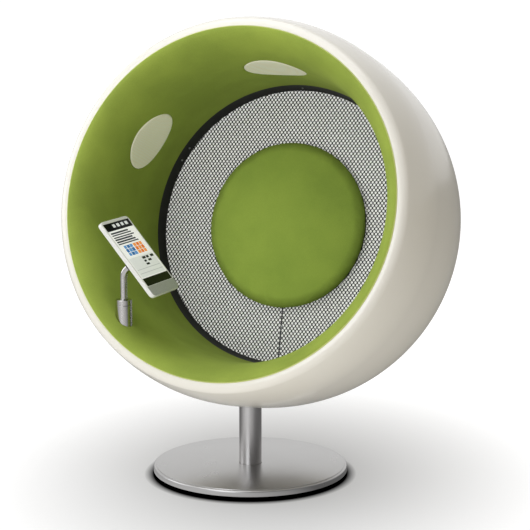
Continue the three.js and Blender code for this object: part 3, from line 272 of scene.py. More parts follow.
def bell(angle, depth):
    """The liner's bell mouth, a quarter ellipse from edge to throat, moved outwards."""
    half_axial, half_radial = MOUTH_FRONT - THROAT_AXIAL, MOUTH_RADIUS - THROAT_RADIUS
    normal = np.stack([half_axial * np.sin(angle), -half_radial * np.cos(angle)], axis=-1)
    normal /= np.linalg.norm(normal, axis=-1, keepdims=True)
    radius = MOUTH_RADIUS - half_radial * np.sin(angle)
    return np.stack([radius, THROAT_AXIAL + half_axial * np.cos(angle)], axis=-1) + depth * normal


def liner_radius(axial):
    """Radius of the liner's face along the axis: the bell before the throat, a cone behind it."""
    share = np.clip((axial - THROAT_AXIAL) / (MOUTH_FRONT - THROAT_AXIAL), 0, 1)
    mouth = MOUTH_RADIUS - (MOUTH_RADIUS - THROAT_RADIUS) * np.sqrt(1 - share**2)
    slope = (THROAT_RADIUS - LINER_BACK_RADIUS) / (THROAT_AXIAL - LINER_BACK_AXIAL)
    return np.where(axial > THROAT_AXIAL, mouth, THROAT_RADIUS + slope * (axial - THROAT_AXIAL))


def shell_profile():
    """The shell's section: outside, rolled lip, rebate, web, and inside back to the axis."""
    web = EDGE_RADIUS + SHELL_WALL
    inner = LIP_ROUND - SHELL_WALL
    elbow, flange = bell(np.array(ELBOW), UPHOLSTERY + CARRIER + CLEARANCE) - [0, CLEARANCE]
    return np.vstack(
        [
            wall(0, 90),
            arc(LIP_CENTRE, LIP_ROUND, LIP_ANGLE, math.pi / 2, 18)[1:],
            [[EDGE_RADIUS + 1, CROWN], [EDGE_RADIUS, CROWN - 1]],
            [[EDGE_RADIUS, flange], [elbow, flange]],
            [[elbow, flange - SHELL_WALL], [web, flange - SHELL_WALL]],
            arc(LIP_CENTRE, inner, math.acos((web - LIP_CENTRE[0]) / inner), LIP_ANGLE, 10),
            wall(SHELL_WALL, 60)[::-1][1:],
        ]
    )


def liner_profile():
    """The upholstery's section: rounded edge, bell mouth, tunnel, and the same behind."""
    edge = EDGE_RADIUS - CLEARANCE
    back = bell(np.linspace(math.pi / 2, ELBOW, 16), UPHOLSTERY)
    front = bell(np.linspace(0, math.pi / 2, 60), 0)
    tunnel = np.linspace(THROAT_AXIAL, LINER_BACK_AXIAL, 16)[1:]
    return np.vstack(
        [
            [[edge, back[-1][1] + 2]],
            arc((edge - LINER_EDGE, MOUTH_FRONT - LINER_EDGE), LINER_EDGE, 0, math.pi / 2, 7),
            front[1:],
            np.stack([liner_radius(tunnel), tunnel], axis=1),
            [[LINER_BACK_RADIUS + UPHOLSTERY, LINER_BACK_AXIAL]],
            back,
        ]
    )


def on_wall(angle, axial):
    """A frame on the pod's wall at an angle from the top: X across, Y along, Z outwards."""
    outward = math.sin(angle) * ACROSS + math.cos(angle) * UP
    return frame_of(np.cross(OUT, outward), OUT, outward, POD_CENTRE + axial * OUT)


def oval(half_across, half_along, count):
    """Points round an ellipse."""
    angle = np.linspace(0, 2 * math.pi, count, endpoint=False)
    return np.stack([half_across * np.cos(angle), half_along * np.sin(angle)], axis=1)


def cover_surface(name, angle):
    """A speaker cover: an oval laid on the liner's face, lifted a little, whose rim curls down into
    it. height = sqrt((liner radius - lift)^2 - across^2) keeps its outline seen square on."""
    flat, curl, skirt, gap = 0.93, 3.2, 9, 0.4
    bend = np.linspace(0.2, math.pi / 2, 8)
    level = np.linspace(0, flat, 26)
    share = np.concatenate([level, flat + (1 - flat) * np.sin(bend), [1, 0.9]])
    drop = np.concatenate([0 * level, curl * (1 - np.cos(bend)), [skirt, skirt]])
    turn = np.linspace(0, 2 * math.pi, COVER_TURNS, endpoint=False)
    across = (COVER_HALF_ACROSS - gap) * share * np.cos(turn)[:, None]
    along = (COVER_HALF_AXIAL - gap) * share * np.sin(turn)[:, None]
    lift = COVER_PROUD - drop
    radius = liner_radius(COVER_AXIAL + along) - lift
    height = np.sqrt(radius**2 - across**2)
    points = placed(np.stack([across, along, height], axis=-1), on_wall(angle, COVER_AXIAL))
    return object_from(name, points, quads(COVER_TURNS, len(share), True, False))


def grille_lattice(name):
    """The perforated sheet: staggered cells with a hole of eight sides, laid on a ring and drawn
    in to its edges. Each cell has a front, a back and the hole's wall."""
    first, last = 284, 487.5  # radii between which a cell's centre lies
    inner, outer = 279, 489  # radii to which its corners are drawn in
    columns = np.arange(-40, 41)
    rows = np.arange(-56, 57)
    x, y = np.meshgrid(columns * HOLE_PITCH, rows * ROW_PITCH)
    x = x + (rows % 2)[:, None] * HOLE_PITCH / 2
    distance = np.hypot(x, y)
    keep = (distance > first) & (distance < last)
    centres = np.stack([x[keep], y[keep]], axis=1)
    half = HOLE_PITCH / 2
    corner_y = (half**2 + ROW_PITCH**2) / (2 * ROW_PITCH)
    side_y = (ROW_PITCH**2 - half**2) / (2 * ROW_PITCH)
    outline = np.array(
        [
            [half, 0], [half, side_y], [0, corner_y], [-half, side_y],
            [-half, 0], [-half, -side_y], [0, -corner_y], [half, -side_y],
        ]
    )
    sides = len(outline)
    turn = np.arange(sides) * 2 * math.pi / sides
    hole = np.stack([np.cos(turn), np.sin(turn)], axis=1) * HOLE_HALF
    flat = centres[:, None, None, :] + np.stack([outline, hole])[None]
    radius = np.linalg.norm(flat, axis=-1, keepdims=True)
    flat = flat * np.clip(radius, inner, outer) / radius
    front = np.concatenate([flat, np.full((*flat.shape[:-1], 1), GRILLE_AXIAL)], axis=-1)
    back = front - np.array([0, 0, GRILLE_THICK])
    cells = np.stack([front, back], axis=1).reshape(len(centres), 4, sides, 3)
    corner = np.arange(sides)
    following = (corner + 1) % sides
    # front outline, front hole, back hole, back outline
    loops = sides * np.array([0, 1, 3, 2])
    faces = np.concatenate(
        [
            np.stack([a + corner, a + following, b + following, b + corner], axis=1)
            for a, b in zip(loops[:-1], loops[1:])
        ]
    )
    faces = (faces[None] + 4 * sides * np.arange(len(centres))[:, None, None]).reshape(-1, 4)
    return object_from(name, placed(cells.reshape(-1, 3), grille_frame()), faces, sharp=30)


def grille_frame():
    """X and Y across and up the sheet, which sits turned a little, and Z out of the mouth."""
    right = math.cos(GRILLE_ROLL) * ACROSS + math.sin(GRILLE_ROLL) * UP
    return frame_of(right, np.cross(OUT, right), OUT, POD_CENTRE)


def panel_cloth(name):
    """The white cloth over the panel: a disc just behind the sheet, its edge turned back."""
    front, thick, fold = GRILLE_AXIAL - GRILLE_THICK - 0.4, 4.1, 1.5
    back, edge = front - thick, GRILLE_RADIUS - 3
    rim = [[edge, back + 1], [edge, front - fold], [edge - fold, front]]
    return in_pod(name, [[0, back], [edge - 3, back], *rim, [0, front]], PANEL_TURNS)


def seam_strips(name):
    """The sheet's two folded edges below the cushion: narrow boxes with a slit between."""
    near, far, proud = 0.4, 2.3, 0.5
    strips = []
    for side in (-1, 1):
        low, high = sorted((side * near, side * far))
        ends = -GRILLE_RADIUS, -GRILLE_BORE
        outline = [[low, ends[0]], [high, ends[0]], [high, ends[1]], [low, ends[1]]]
        back, front = GRILLE_AXIAL - GRILLE_THICK, GRILLE_AXIAL + proud
        strips.append(prism(name, outline, back, front, grille_frame()))
    return joined(strips)


def joined(pieces):
    """Several objects' meshes as one object."""
    work = bmesh.new()
    for one in pieces:
        work.from_mesh(one.data)
    work.to_mesh(pieces[0].data)
    work.free()
    for one in pieces[1:]:
        bpy.data.objects.remove(one)
    return pieces[0]


def pad_profile():
    """The cushion's section: flat back, an oval round from its seam to the shoulder, and a dome:
    height = shoulder + rise * (1 - (radius / shoulder radius)^2)."""
    back = GRILLE_AXIAL + CLEARANCE * 2 + PAD_BOARD
    side = arc((0, 0), 1, math.radians(-72), math.radians(75), 15)
    side = side * [PAD_RADIUS - PAD_TURN, PAD_HALF_SIDE] + [PAD_TURN, back + PAD_HALF_SIDE - 3]
    start = side[-1]
    radius = start[0] * np.linspace(1, 0, 14)[1:]
    dome = start[1] + (back + PAD_RISE - start[1]) * (1 - (radius / start[0]) ** 2)
    return np.vstack([[[0, back + 1]], side, np.stack([radius, dome], axis=1)])


def swollen(made, voxel, pressure, cap):
    """Swells a closed skin, remeshed in voxels of a size, under inner pressure as a stuffed cover
    does, each corner's way capped."""
    frames, stiffness = 20, 20
    bpy.context.view_layer.objects.active = made
    remesh = made.modifiers.new("even", "REMESH")
    remesh.mode = "VOXEL"
    remesh.voxel_size = voxel * MM
    applied(made)
    before = corner_array(made)
    cloth = made.modifiers.new("skin", "CLOTH")
    cloth.settings.use_pressure = True
    cloth.settings.uniform_pressure_force = pressure
    cloth.settings.effector_weights.gravity = 0
    cloth.settings.quality = 4
    cloth.settings.tension_stiffness = stiffness
    cloth.settings.compression_stiffness = stiffness
    cloth.point_cache.frame_end = frames
    for step in range(1, frames + 1):
        bpy.context.scene.frame_set(step)
    applied(made)
    bpy.context.scene.frame_set(1)
    moved = corner_array(made) - before
    length = np.linalg.norm(moved, axis=1, keepdims=True)
    moved *= np.minimum(1, cap * MM / np.maximum(length, 1e-9))
    made.data.vertices.foreach_set("co", (before + moved).ravel().astype(np.float32))
    made.data.update()
    return made


def corner_array(made):
    """Places of a mesh's corners as an array, in metres."""
    places = np.zeros(len(made.data.vertices) * 3, np.float32)
    made.data.vertices.foreach_get("co", places)
    return places.reshape(-1, 3).astype(float)


def pad_cushion():
    """The round back cushion, swollen, held off the board behind it, and smoothed once."""
    made = in_pod("pad_cushion_felt", pad_profile(), PAD_TURNS)
    swollen(made, voxel=5.5, pressure=4, cap=6)
    places = corner_array(made)
    axial = (places - POD_CENTRE * MM) @ OUT
    floor = (GRILLE_AXIAL + CLEARANCE * 2 + PAD_BOARD) * MM
    places += np.maximum(0, floor - axial)[:, None] * OUT
    made.data.vertices.foreach_set("co", places.ravel().astype(np.float32))
    smooth = made.modifiers.new("smooth", "SUBSURF")
    smooth.levels = smooth.render_levels = 1
    applied(made)
    return settled(made, sharp=180)


# Base, column and arm shapes


def base_profile():
    """The pressed disc: top, fine step, rounded edge, skirt and underside."""
    low, top, radius, bore = BASE_LOW, BASE_TOP, BASE_RADIUS, COLUMN_RADIUS + CLEARANCE
    edge, step, shoulder, hem = 6, 1.8, 0.6, 1.2
    inside, under = radius - BASE_SHEET, top - BASE_SHEET
    return np.vstack(
        [
            [[bore, top - 0.8], [bore + 0.85, top]],
            arc((radius - edge - 3, top - shoulder), shoulder, math.pi / 2, 0, 5),
            [[radius - edge - 2.2, top - step + 0.2], [radius - edge - shoulder, top - step]],
            arc((radius - edge, top - step - edge), edge, math.pi / 2, 0, 14),
            arc((radius - hem, low + hem), hem, 0, -math.pi / 2, 5),
            [[inside, low], [inside, under], [bore, under]],
        ]
    )


def arm_path(count):
    """Up from the bush, a bend, and on along the tablet's slope: places and directions."""
    top, straight, bend, reach, sunk = 591, 92, 40, 20, 61
    low = np.array([ARM[0], ARM[1], top + straight])
    corner = low + [0, 0, bend * math.tan(TABLET_SLOPE / 2)]
    along = np.array([math.sin(TABLET_SLOPE), 0, math.cos(TABLET_SLOPE)])
    end = low + [bend * (1 - math.cos(TABLET_SLOPE)), 0, bend * math.sin(TABLET_SLOPE)]
    share = np.linspace(0, 1, count)[:, None]
    curve = (1 - share) ** 2 * low + 2 * share * (1 - share) * corner + share**2 * end
    slope = (1 - share) * (corner - low) + share * (end - corner)
    start = low - [0, 0, straight]
    places = np.vstack([[start - [0, 0, sunk]], [start], curve, [end + reach * along]])
    slopes = np.vstack([[ROOM_UP], [ROOM_UP], slope, [along]])
    return places, slopes / np.linalg.norm(slopes, axis=1, keepdims=True)


def arm_tube(name):
    """A circle carried along the arm's path, closed by a flat end at each side."""
    places, slopes = arm_path(26)
    side = np.array([0, 1.0, 0])
    turn = np.linspace(0, 2 * math.pi, TUBE_TURNS, endpoint=False)[None, :, None]
    other = np.cross(slopes, side)[:, None, :]
    ring = ARM_TUBE * (np.cos(turn) * side + np.sin(turn) * other)
    ends = [np.repeat(end[:, None, :], TUBE_TURNS, axis=1) for end in (places[:1], places[-1:])]
    points = np.concatenate([ends[0], places[:, None, :] + ring, ends[1]])
    return object_from(name, points, quads(len(points), TUBE_TURNS, False, True))


def hinge_place():
    """The tilt axis's middle, straight on from the arm's end."""
    places, slopes = arm_path(3)
    return places[-1] + (HEAD_TOP + HEAD_WALL + CLEARANCE) * slopes[-1]


def hinge_frame():
    """X down the tablet's long edge, Y along the tilt axis, Z out of the screen."""
    down = np.array([math.cos(TABLET_SLOPE), 0, -math.sin(TABLET_SLOPE)])
    out = np.array([math.sin(TABLET_SLOPE), 0, math.cos(TABLET_SLOPE)])
    return frame_of(down, np.cross(out, down), out, hinge_place())


def rounded(length, width, corner, count, middle=0.0):
    """Points round a rectangle with round corners."""
    corner = max(corner, 0.01)
    x, y = length / 2 - corner, width / 2 - corner
    angle = np.linspace(0, math.pi / 2, count)
    turns = [angle + k * math.pi / 2 for k in range(4)]
    centres = [(x, y), (-x, y), (-x, -y), (x, -y)]
    arcs = [arc(c, corner, t[0], t[-1], count) for c, t in zip(centres, turns)]
    return np.vstack(arcs) + [middle, 0]


def slab_ring(inset, height, shrink=1.0):
    """The tablet's outline moved in, at a height over the hinge."""
    corner = TABLET_CORNER - inset
    outline = rounded(TABLET_LENGTH - 2 * inset, TABLET_WIDTH - 2 * inset, corner, 9)
    return outline * shrink + [TABLET_SHIFT, 0], height


def edge_rings(low, high):
    """The tablet's rounded edge between two heights."""
    angle = np.linspace(0, math.pi / 2, 6)
    inset = TABLET_EDGE * (1 - np.sin(angle))
    height = low + (high - low) * (1 - np.cos(angle))
    return [slab_ring(i, h) for i, h in zip(inset, height)]


SPLIT = TABLET_OFFSET + TABLET_THICK - BEZEL_THICK
SCREEN_MIDDLE = TABLET_SHIFT - TABLET_LENGTH / 2 + SCREEN_TOP + SCREEN_LENGTH / 2


def tablet_case():
    """The tray behind the screen: flat back, rounded edge, walls, and the inside of the same."""
    low = TABLET_OFFSET
    rings = [slab_ring(TABLET_EDGE, low, 0)]
    rings += edge_rings(low, low + TABLET_EDGE)
    rings += [slab_ring(0, SPLIT - CLEARANCE), slab_ring(CASE_WALL, SPLIT - CLEARANCE)]
    rings += [slab_ring(CASE_WALL, low + CASE_WALL), slab_ring(CASE_WALL, low + CASE_WALL, 0)]
    return stacked("tablet_case_plastic", rings, hinge_frame())


def tablet_bezel():
    """The frame round the screen: wall, rounded edge, flat face and the window's side."""
    top = TABLET_OFFSET + TABLET_THICK
    window = rounded(SCREEN_LENGTH, SCREEN_WIDTH, 2, 9, SCREEN_MIDDLE)
    rings = [slab_ring(0, SPLIT)]
    rings += edge_rings(top, top - TABLET_EDGE)[::-1]
    rings += [(window, top), (window, SPLIT)]
    return stacked("tablet_bezel_plastic", rings, hinge_frame(), closed=True)


def screen_colours(u, v):
    """Blocks of a made-up page, as linear colours at shares u down and v across it."""
    paper, plain, pale, rule = 0xF4F5F3, 0xDADDDB, 0xD9DDDE, 0xA7ABAC
    bar, text, figure = 0x0B0D0E, 0x2C3136, 0x1F2427
    blues, oranges = (0x5A93CC, 0x2E6BA8), (0xEE9440, 0xE0751F)
    blocks = [(0, 0.12, 0, 1, bar)]
    blocks += [(0.03, 0.075, start, start + 0.1, pale) for start in (0.3, 0.46, 0.62, 0.78)]
    for row, start in enumerate((0.145, 0.18, 0.215, 0.25, 0.285, 0.32)):
        blocks.append((start, start + 0.02, 0.05, 0.72 + 0.06 * (row % 3), text))
    for i, j in np.ndindex(3, 3):
        for hexes, start in ((blues, 0.16), (oranges, 0.53)):
            u0, v0 = 0.36 + 0.06 * i, start + 0.115 * j
            blocks.append((u0, u0 + 0.05, v0, v0 + 0.1, hexes[(i + j) % 2]))
    blocks.append((0.56, 0.87, 0.03, 0.97, plain))
    for row, start in enumerate((0.585, 0.635, 0.685)):
        for j in range(3 - row):
            v0, wide = 0.5 + 0.16 * j, (0.13, 0.09, 0.12)[(row + j) % 3]
            blocks.append((start, start + 0.034, v0, v0 + wide, figure))
    blocks += [(start, start + 0.006, 0.05, 0.95, rule) for start in (0.75, 0.81)]
    blocks.append((0.88, 1.01, 0, 1.01, bar))
    colour = np.empty((*u.shape, 4))
    colour[:] = linear(paper)
    for u0, u1, v0, v1, hexes in blocks:
        colour[(u >= u0) & (u < u1) & (v >= v0) & (v < v1)] = linear(hexes)
    return colour


def tablet_screen(name):
    """A flat grid that carries the page's colours, with a glass thickness under it."""
    length, width = SCREEN_LENGTH - 2 * CLEARANCE, SCREEN_WIDTH - 2 * CLEARANCE
    u, v = np.meshgrid(np.linspace(0, 1, 165), np.linspace(0, 1, 116), indexing="ij")
    height = np.full(u.shape, TABLET_OFFSET + TABLET_THICK - 0.3)
    flat = np.stack([SCREEN_MIDDLE + (u - 0.5) * length, (v - 0.5) * width, height], axis=-1)
    made = plain_object(name, placed(flat, hinge_frame()), quads(*u.shape, False, False))
    page = made.data.color_attributes.new("page", "FLOAT_COLOR", "POINT")
    page.data.foreach_set("color", screen_colours(u, v).ravel().astype(np.float32))
    glass = made.modifiers.new("glass", "SOLIDIFY")
    glass.thickness = 3.6 * MM
    glass.offset = -1
    return applied(made)


def tilt_head(name):
    """The cup over the arm's end and the tongue that stands on it."""
    origin, slope = hinge_place(), arm_path(3)[1][-1]
    side = np.array([0, 1.0, 0])
    bore, outer, tongue = ARM_TUBE + CLEARANCE, 15, 9
    top, stop, end = -HEAD_TOP, -HEAD_TOP - HEAD_WALL, -HEAD_TOP - 16
    inside = [[0, stop], [bore, stop], [bore, end], [outer - 1, end], [outer, end + 1]]
    cup = inside + [[outer, top - 1.2], [outer - 1.2, top], [0, top]]
    made = revolved(name, cup, origin, slope, side, TUBE_TURNS)
    foot = top - CLEARANCE
    outline = np.vstack([[[-tongue, foot]], [[tongue, foot]], arc((0, 0), tongue, 0, math.pi, 17)])
    flat = frame_of(hinge_frame()[:3, 0], slope, -hinge_frame()[:3, 1], origin)
    return joined([made, prism(name + "_tongue", outline, -5, 5, flat)])


# Finishes


def add(tree, kind, values=None, links=None, **settings):
    """Adds a node with settings, values for its free sockets, and outputs that feed the others."""
    made = tree.nodes.new("ShaderNode" + kind)
    for name, value in settings.items():
        setattr(made, name, value)
    for socket, value in (values or {}).items():
        made.inputs[socket].default_value = value
    for socket, source in (links or {}).items():
        tree.links.new(source, made.inputs[socket])
    return made


def finish(name, **sockets):
    """A new material with plain sockets set, its tree and shader, and object coordinates."""
    material = bpy.data.materials.new(name)
    material.use_nodes = True
    tree = material.node_tree
    shader = node_of(tree, "BSDF_PRINCIPLED")
    for socket, value in sockets.items():
        shader.inputs[socket.replace("_", " ")].default_value = value
    place = add(tree, "TexCoord").outputs["Object"]
    return material, tree, shader, place


def feed(tree, shader, **sources):
    """Links outputs to a shader's sockets."""
    for socket, source in sources.items():
        tree.links.new(source, shader.inputs[socket.replace("_", " ")])


def node_of(tree, kind):
    """The node of a kind that a tree already holds."""
    return next(n for n in tree.nodes if n.type == kind)


def dotted(tree, place, way):
    """How far a place lies along a way."""
    made = add(tree, "VectorMath", {1: tuple(way)}, {0: place}, operation="DOT_PRODUCT")
    return made.outputs["Value"]


def length_of(tree, vector):
    """A vector's length."""
    return add(tree, "VectorMath", None, {0: vector}, operation="LENGTH").outputs["Value"]


def speckle(tree, place, size_mm, detail=2, rough=0.5):
    """Noise whose grains are about the given size."""
    values = {"Scale": 1000 / size_mm, "Detail": detail, "Roughness": rough}
    return add(tree, "TexNoise", values, {"Vector": place}).outputs["Fac"]


def mixed(tree, share, low, high):
    """A colour between two hex values by a share; another node's colour may stand for the first."""
    values, links = {SECOND_COLOUR: linear(high)}, {0: share}
    if isinstance(low, int):
        values[FIRST_COLOUR] = linear(low)
    else:
        links[FIRST_COLOUR] = low
    return add(tree, "Mix", values, links, data_type="RGBA").outputs[2]


def product(tree, first, second):
    """Two numbers multiplied."""
    return add(tree, "Math", None, {0: first, 1: second}, operation="MULTIPLY").outputs[0]


def ranged(tree, source, low, high, new_low, new_high):
    """A number moved from one range to another."""
    values = {"From Min": low, "From Max": high, "To Min": new_low, "To Max": new_high}
    return add(tree, "MapRange", values, {"Value": source}).outputs["Result"]


def raised(tree, shader, height, depth_mm, strength):
    """Relief of a given depth on the surface."""
    bump = add(tree, "Bump", {"Strength": strength, "Distance": depth_mm * MM}, {"Height": height})
    feed(tree, shader, Normal=bump.outputs["Normal"])


def felt(name, shades, way, reach, painted_shading, fold=None, turn=None):
    """Needled wool felt: matt, soft at grazing angles, in cloudy patches of short fibres, with
    painted shade that runs from darker to lighter along a way between two reaches from the pod's
    centre.
    In millimetres from its axis: fold is an edge painted lighter as a highlight, and turn is where
    it goes down to a seam, painted darker as shade."""
    sheen = {"Sheen_Weight": 0.2, "Sheen_Roughness": 0.5, "Sheen_Tint": linear(0xC4CC78)}
    material, tree, shader, place = finish(name, IOR=1.45, Specular_IOR_Level=0.15, **sheen)
    cloud = speckle(tree, place, 170, 3, 0.55)
    # fibres under a millimetre, drawn as coarse as 3 mm to show
    fibre = speckle(tree, place, 3, 3, 0.6)
    patches = mixed(tree, ranged(tree, cloud, 0.36, 0.66, 0, 1), shades[0], shades[1])
    # painted highlight: a lighter yellow-green band at the liner's front edge, where light catches
    # it
    if fold:
        low, high = (fold - 3.5) * MM, (fold - 0.8) * MM
        painted_highlight = ranged(tree, radius_in_pod(tree, place), low, high, 0, 1)
        patches = mixed(tree, painted_highlight, patches, 0xD3DC8E)
    lighter = add(tree, "HueSaturation", None, {"Color": patches})
    middle = float(POD_CENTRE @ way) * MM
    # painted shade: darker at the first reach, lighter at the second
    low, high = (middle + one * MM for one in reach)
    value = product(
        tree,
        ranged(tree, dotted(tree, place, way), low, high, *painted_shading),
        ranged(tree, fibre, *NOISE, 0.94, 1.06),
    )
    # painted shade: darker where the cushion turns down to its seam
    if turn:
        down = ranged(tree, radius_in_pod(tree, place), turn * MM, PAD_RADIUS * MM, 1, 0.6)
        value = product(tree, value, down)
    feed(tree, lighter, Value=value)
    gloss = ranged(tree, fibre, *NOISE, 0.86, 0.98)
    feed(tree, shader, Base_Color=lighter.outputs["Color"], Roughness=gloss)
    raised(tree, shader, fibre, 0.5, 0.25)
    return material


def radius_in_pod(tree, place):
    """How far a point is from the pod's axis, in metres: |(point - centre) x OUT|."""
    centre = tuple(POD_CENTRE * MM)
    moved = add(tree, "VectorMath", {1: centre}, {0: place}, operation="SUBTRACT").outputs[0]
    crossed = add(tree, "VectorMath", {1: tuple(OUT)}, {0: moved}, operation="CROSS_PRODUCT")
    return length_of(tree, crossed.outputs[0])


def gelcoat():
    """Polyester gelcoat, polished: glossy off-white with a faint orange-peel relief."""
    coat = {"Coat_Weight": 0.3, "Coat_Roughness": 0.12}
    material, tree, shader, place = finish("gelcoat_moulded_polished", IOR=1.5, **coat)
    tone = speckle(tree, place, 420, 2, 0.5)
    gloss = ranged(tree, speckle(tree, place, 350, 1), 0, 1, 0.24, 0.28)
    feed(tree, shader, Base_Color=mixed(tree, tone, 0xEFECE3, 0xF3F0E9), Roughness=gloss)
    # orange peel: waves of 5 mm, a hundredth of a millimetre deep
    raised(tree, shader, speckle(tree, place, 5, 0), 0.01, 0.5)
    return material


def steel(name, streak, colour, roughness):
    """Stainless steel: grey metal with fine streaks along the way that belt or lathe ran."""
    material, tree, shader, place = finish(name, Metallic=1.0)
    if streak == "rings":
        spread = add(tree, "VectorMath", {1: (1, 1, 0)}, {0: place}, operation="MULTIPLY")
        along = add(tree, "CombineXYZ", None, {"X": length_of(tree, spread.outputs[0])}).outputs[0]
    else:
        along = add(tree, "Mapping", {"Scale": streak}, {"Vector": place}).outputs[0]
    # grit lines of 0.1 mm, drawn 1.6 mm apart to show
    line = speckle(tree, along, 1.6, 2, 0.5)
    broad = speckle(tree, place, 90, 2)
    shade = mixed(tree, ranged(tree, line, 0.25, 0.75, 0, 1), colour - 0x040404, colour + 0x040404)
    gloss = ranged(tree, broad, 0.2, 0.8, roughness - 0.01, roughness + 0.01)
    feed(tree, shader, Base_Color=shade, Roughness=gloss)
    raised(tree, shader, line, 0.001, 0.05)
    return material


def coated(name, colour, roughness, grain_mm, depth_mm=0.08, metallic=0.0):
    """Powder coat, plastic or rubber: one colour with a fine grain in tone, gloss and relief."""
    material, tree, shader, place = finish(name, Metallic=metallic)
    grain = speckle(tree, place, grain_mm, 2)
    tone = add(tree, "HueSaturation", {"Color": linear(colour)}, None)
    feed(tree, tone, Value=ranged(tree, grain, *NOISE, 0.93, 1.07))
    gloss = ranged(tree, grain, *NOISE, roughness - 0.06, roughness + 0.06)
    feed(tree, shader, Base_Color=tone.outputs["Color"], Roughness=gloss)
    raised(tree, shader, grain, depth_mm, 0.3)
    return material


def printed(material):
    """Grey ink over a plastic's own colour, on the tablet's flat front below the screen."""
    tree = material.node_tree
    shader = node_of(tree, "BSDF_PRINCIPLED")
    place = node_of(tree, "TEX_COORD").outputs["Object"]
    down, out = hinge_frame()[:3, 0], hinge_frame()[:3, 2]
    flat, edge = TABLET_OFFSET + TABLET_THICK, SCREEN_MIDDLE + SCREEN_LENGTH / 2
    shares = []
    for way, start, end in ((out, flat - 0.4, flat - 0.2), (down, edge + 1, edge + 2)):
        middle = float(hinge_place() @ way)
        low, high = (middle + start) * MM, (middle + end) * MM
        shares.append(ranged(tree, dotted(tree, place, way), low, high, 0, 1))
    bare = shader.inputs["Base Color"].links[0].from_socket
    feed(tree, shader, Base_Color=mixed(tree, product(tree, *shares), bare, 0xA9ACA9))
    return material


def woven(name, low, high, thread_mm, roughness=0.9, painted_glow=0.0):
    """Plain-woven cloth: two sets of threads that cross, darker between them."""
    # painted light: the cloth glows a little, though it is no lamp
    light = {"Emission_Color": linear(high), "Emission_Strength": painted_glow}
    material, tree, shader, place = finish(name, Roughness=roughness, Sheen_Weight=0.1, **light)
    turned = add(tree, "Mapping", {"Rotation": (TILT, 0, 0)}, {"Vector": place}).outputs[0]
    threads = []
    for direction in ("X", "Z"):
        # bands repeat every 2 pi / 20 / scale metres: two threads
        scale = 1000 / thread_mm / 6.2832
        values = {"Scale": scale, "Distortion": 0.6, "Detail": 1.0, "Detail Scale": 2.0}
        wave = add(tree, "TexWave", values, {"Vector": turned}, bands_direction=direction)
        threads.append(wave.outputs["Fac"])
    cross = product(tree, *threads)
    feed(tree, shader, Base_Color=mixed(tree, ranged(tree, cross, 0, 0.8, 0, 1), low, high))
    raised(tree, shader, cross, 0.2, 0.3)
    return material


def wood(name, low, high):
    """Birch plywood with long grain, in its own colours or near black as painted shade."""
    material, tree, shader, place = finish(name, Roughness=0.7)
    along = add(tree, "Mapping", {"Scale": (0.08, 1, 1)}, {"Vector": place}).outputs[0]
    grain = speckle(tree, along, 6, 4, 0.6)
    feed(tree, shader, Base_Color=mixed(tree, grain, low, high))
    raised(tree, shader, grain, 0.2, 0.3)
    return material


def glass_page():
    """Toughened glass over a lit page: the page's own colours under a clear, glossy face."""
    light = {"Emission_Strength": 0.35, "Specular_IOR_Level": 0.2}
    material, tree, shader, place = finish("screen_glass_polished", IOR=1.5, **light)
    page = add(tree, "Attribute", attribute_name="page").outputs["Color"]
    gloss = ranged(tree, speckle(tree, place, 25), *NOISE, 0.06, 0.14)
    feed(tree, shader, Base_Color=page, Emission_Color=page, Roughness=gloss)
    return material


# painted shade: the liner darker deep inside, lighter towards the mouth, with a painted highlight
# on its edge; the cushion lighter towards its lower left and darker down at its seam
FOLD = EDGE_RADIUS - CLEARANCE
SHADES = 0x8B9D45, 0x98AA4B
FELT = felt("felt_wool_needled", SHADES, OUT, reach=(-300, 200), painted_shading=(0.93, 1.07), fold=FOLD)
DOWN_LEFT = -0.87 * ACROSS - 0.5 * UP
PAD_SHADES = 0x8DA448, 0x98AE4D
PAD_FELT = felt(
    "felt_wool_needled_pad", PAD_SHADES, DOWN_LEFT, reach=(-200, 200), painted_shading=(0.92, 1.2), turn=258
)
GELCOAT = gelcoat()
COLUMN_STEEL = steel("stainless_brushed_lengthwise", (1, 1, 0.02), 0xB8B6B5, roughness=0.33)
DISC_STEEL = steel("stainless_turned", "rings", 0xADACAB, roughness=0.28)
ARM_STEEL = steel("stainless_brushed_fine", (1, 1, 0.05), 0xB7B5B3, roughness=0.18)
PLAIN_STEEL = steel("steel_zinc_plated", (1, 0.1, 1), 0x9C9EA0, roughness=0.42)
BLACK_COAT = coated("powder_coat_black", 0x1B1B1C, 0.5, 1.5, 0.05)
RUBBER = coated("rubber_moulded", 0x111112, 0.8, 2.5)
BLACK_PLASTIC = coated("abs_moulded_black", 0x1F2022, 0.45, 1.2)
WHITE_PLASTIC = coated("abs_moulded_white", 0xE9EAE7, 0.3, 1.5, 0.02)
BEZEL_PLASTIC = printed(coated("abs_moulded_white_printed", 0xE9EAE7, 0.3, 1.5, 0.02))
NYLON = coated("nylon_turned", 0xE2DED1, 0.5, 2.0)
HEATSINK = coated("aluminium_anodised_black", 0x2C2E31, 0.38, 1.0, 0.02, 1.0)
CONE = coated("paper_pulp_pressed", 0x2C2C2E, 0.9, 2.0, 0.2)
FIBREGLASS = woven("glassfibre_laid_up", 0xA8A28A, 0xC2BCA4, 5, 0.6)
# painted light: both cloths glow a little, the white one behind the grille the most
PANEL_CLOTH = woven("cloth_white_woven", 0xF2F2F0, 0xFCFCFB, 2.4, painted_glow=0.3)
COVER_CLOTH = woven("speaker_cloth_cream", 0xF9F6E2, 0xFFFDF0, 1.8, 0.7, painted_glow=0.04)
PLYWOOD = wood("plywood_birch_sawn", 0xB98F58, 0xDDBE8C)
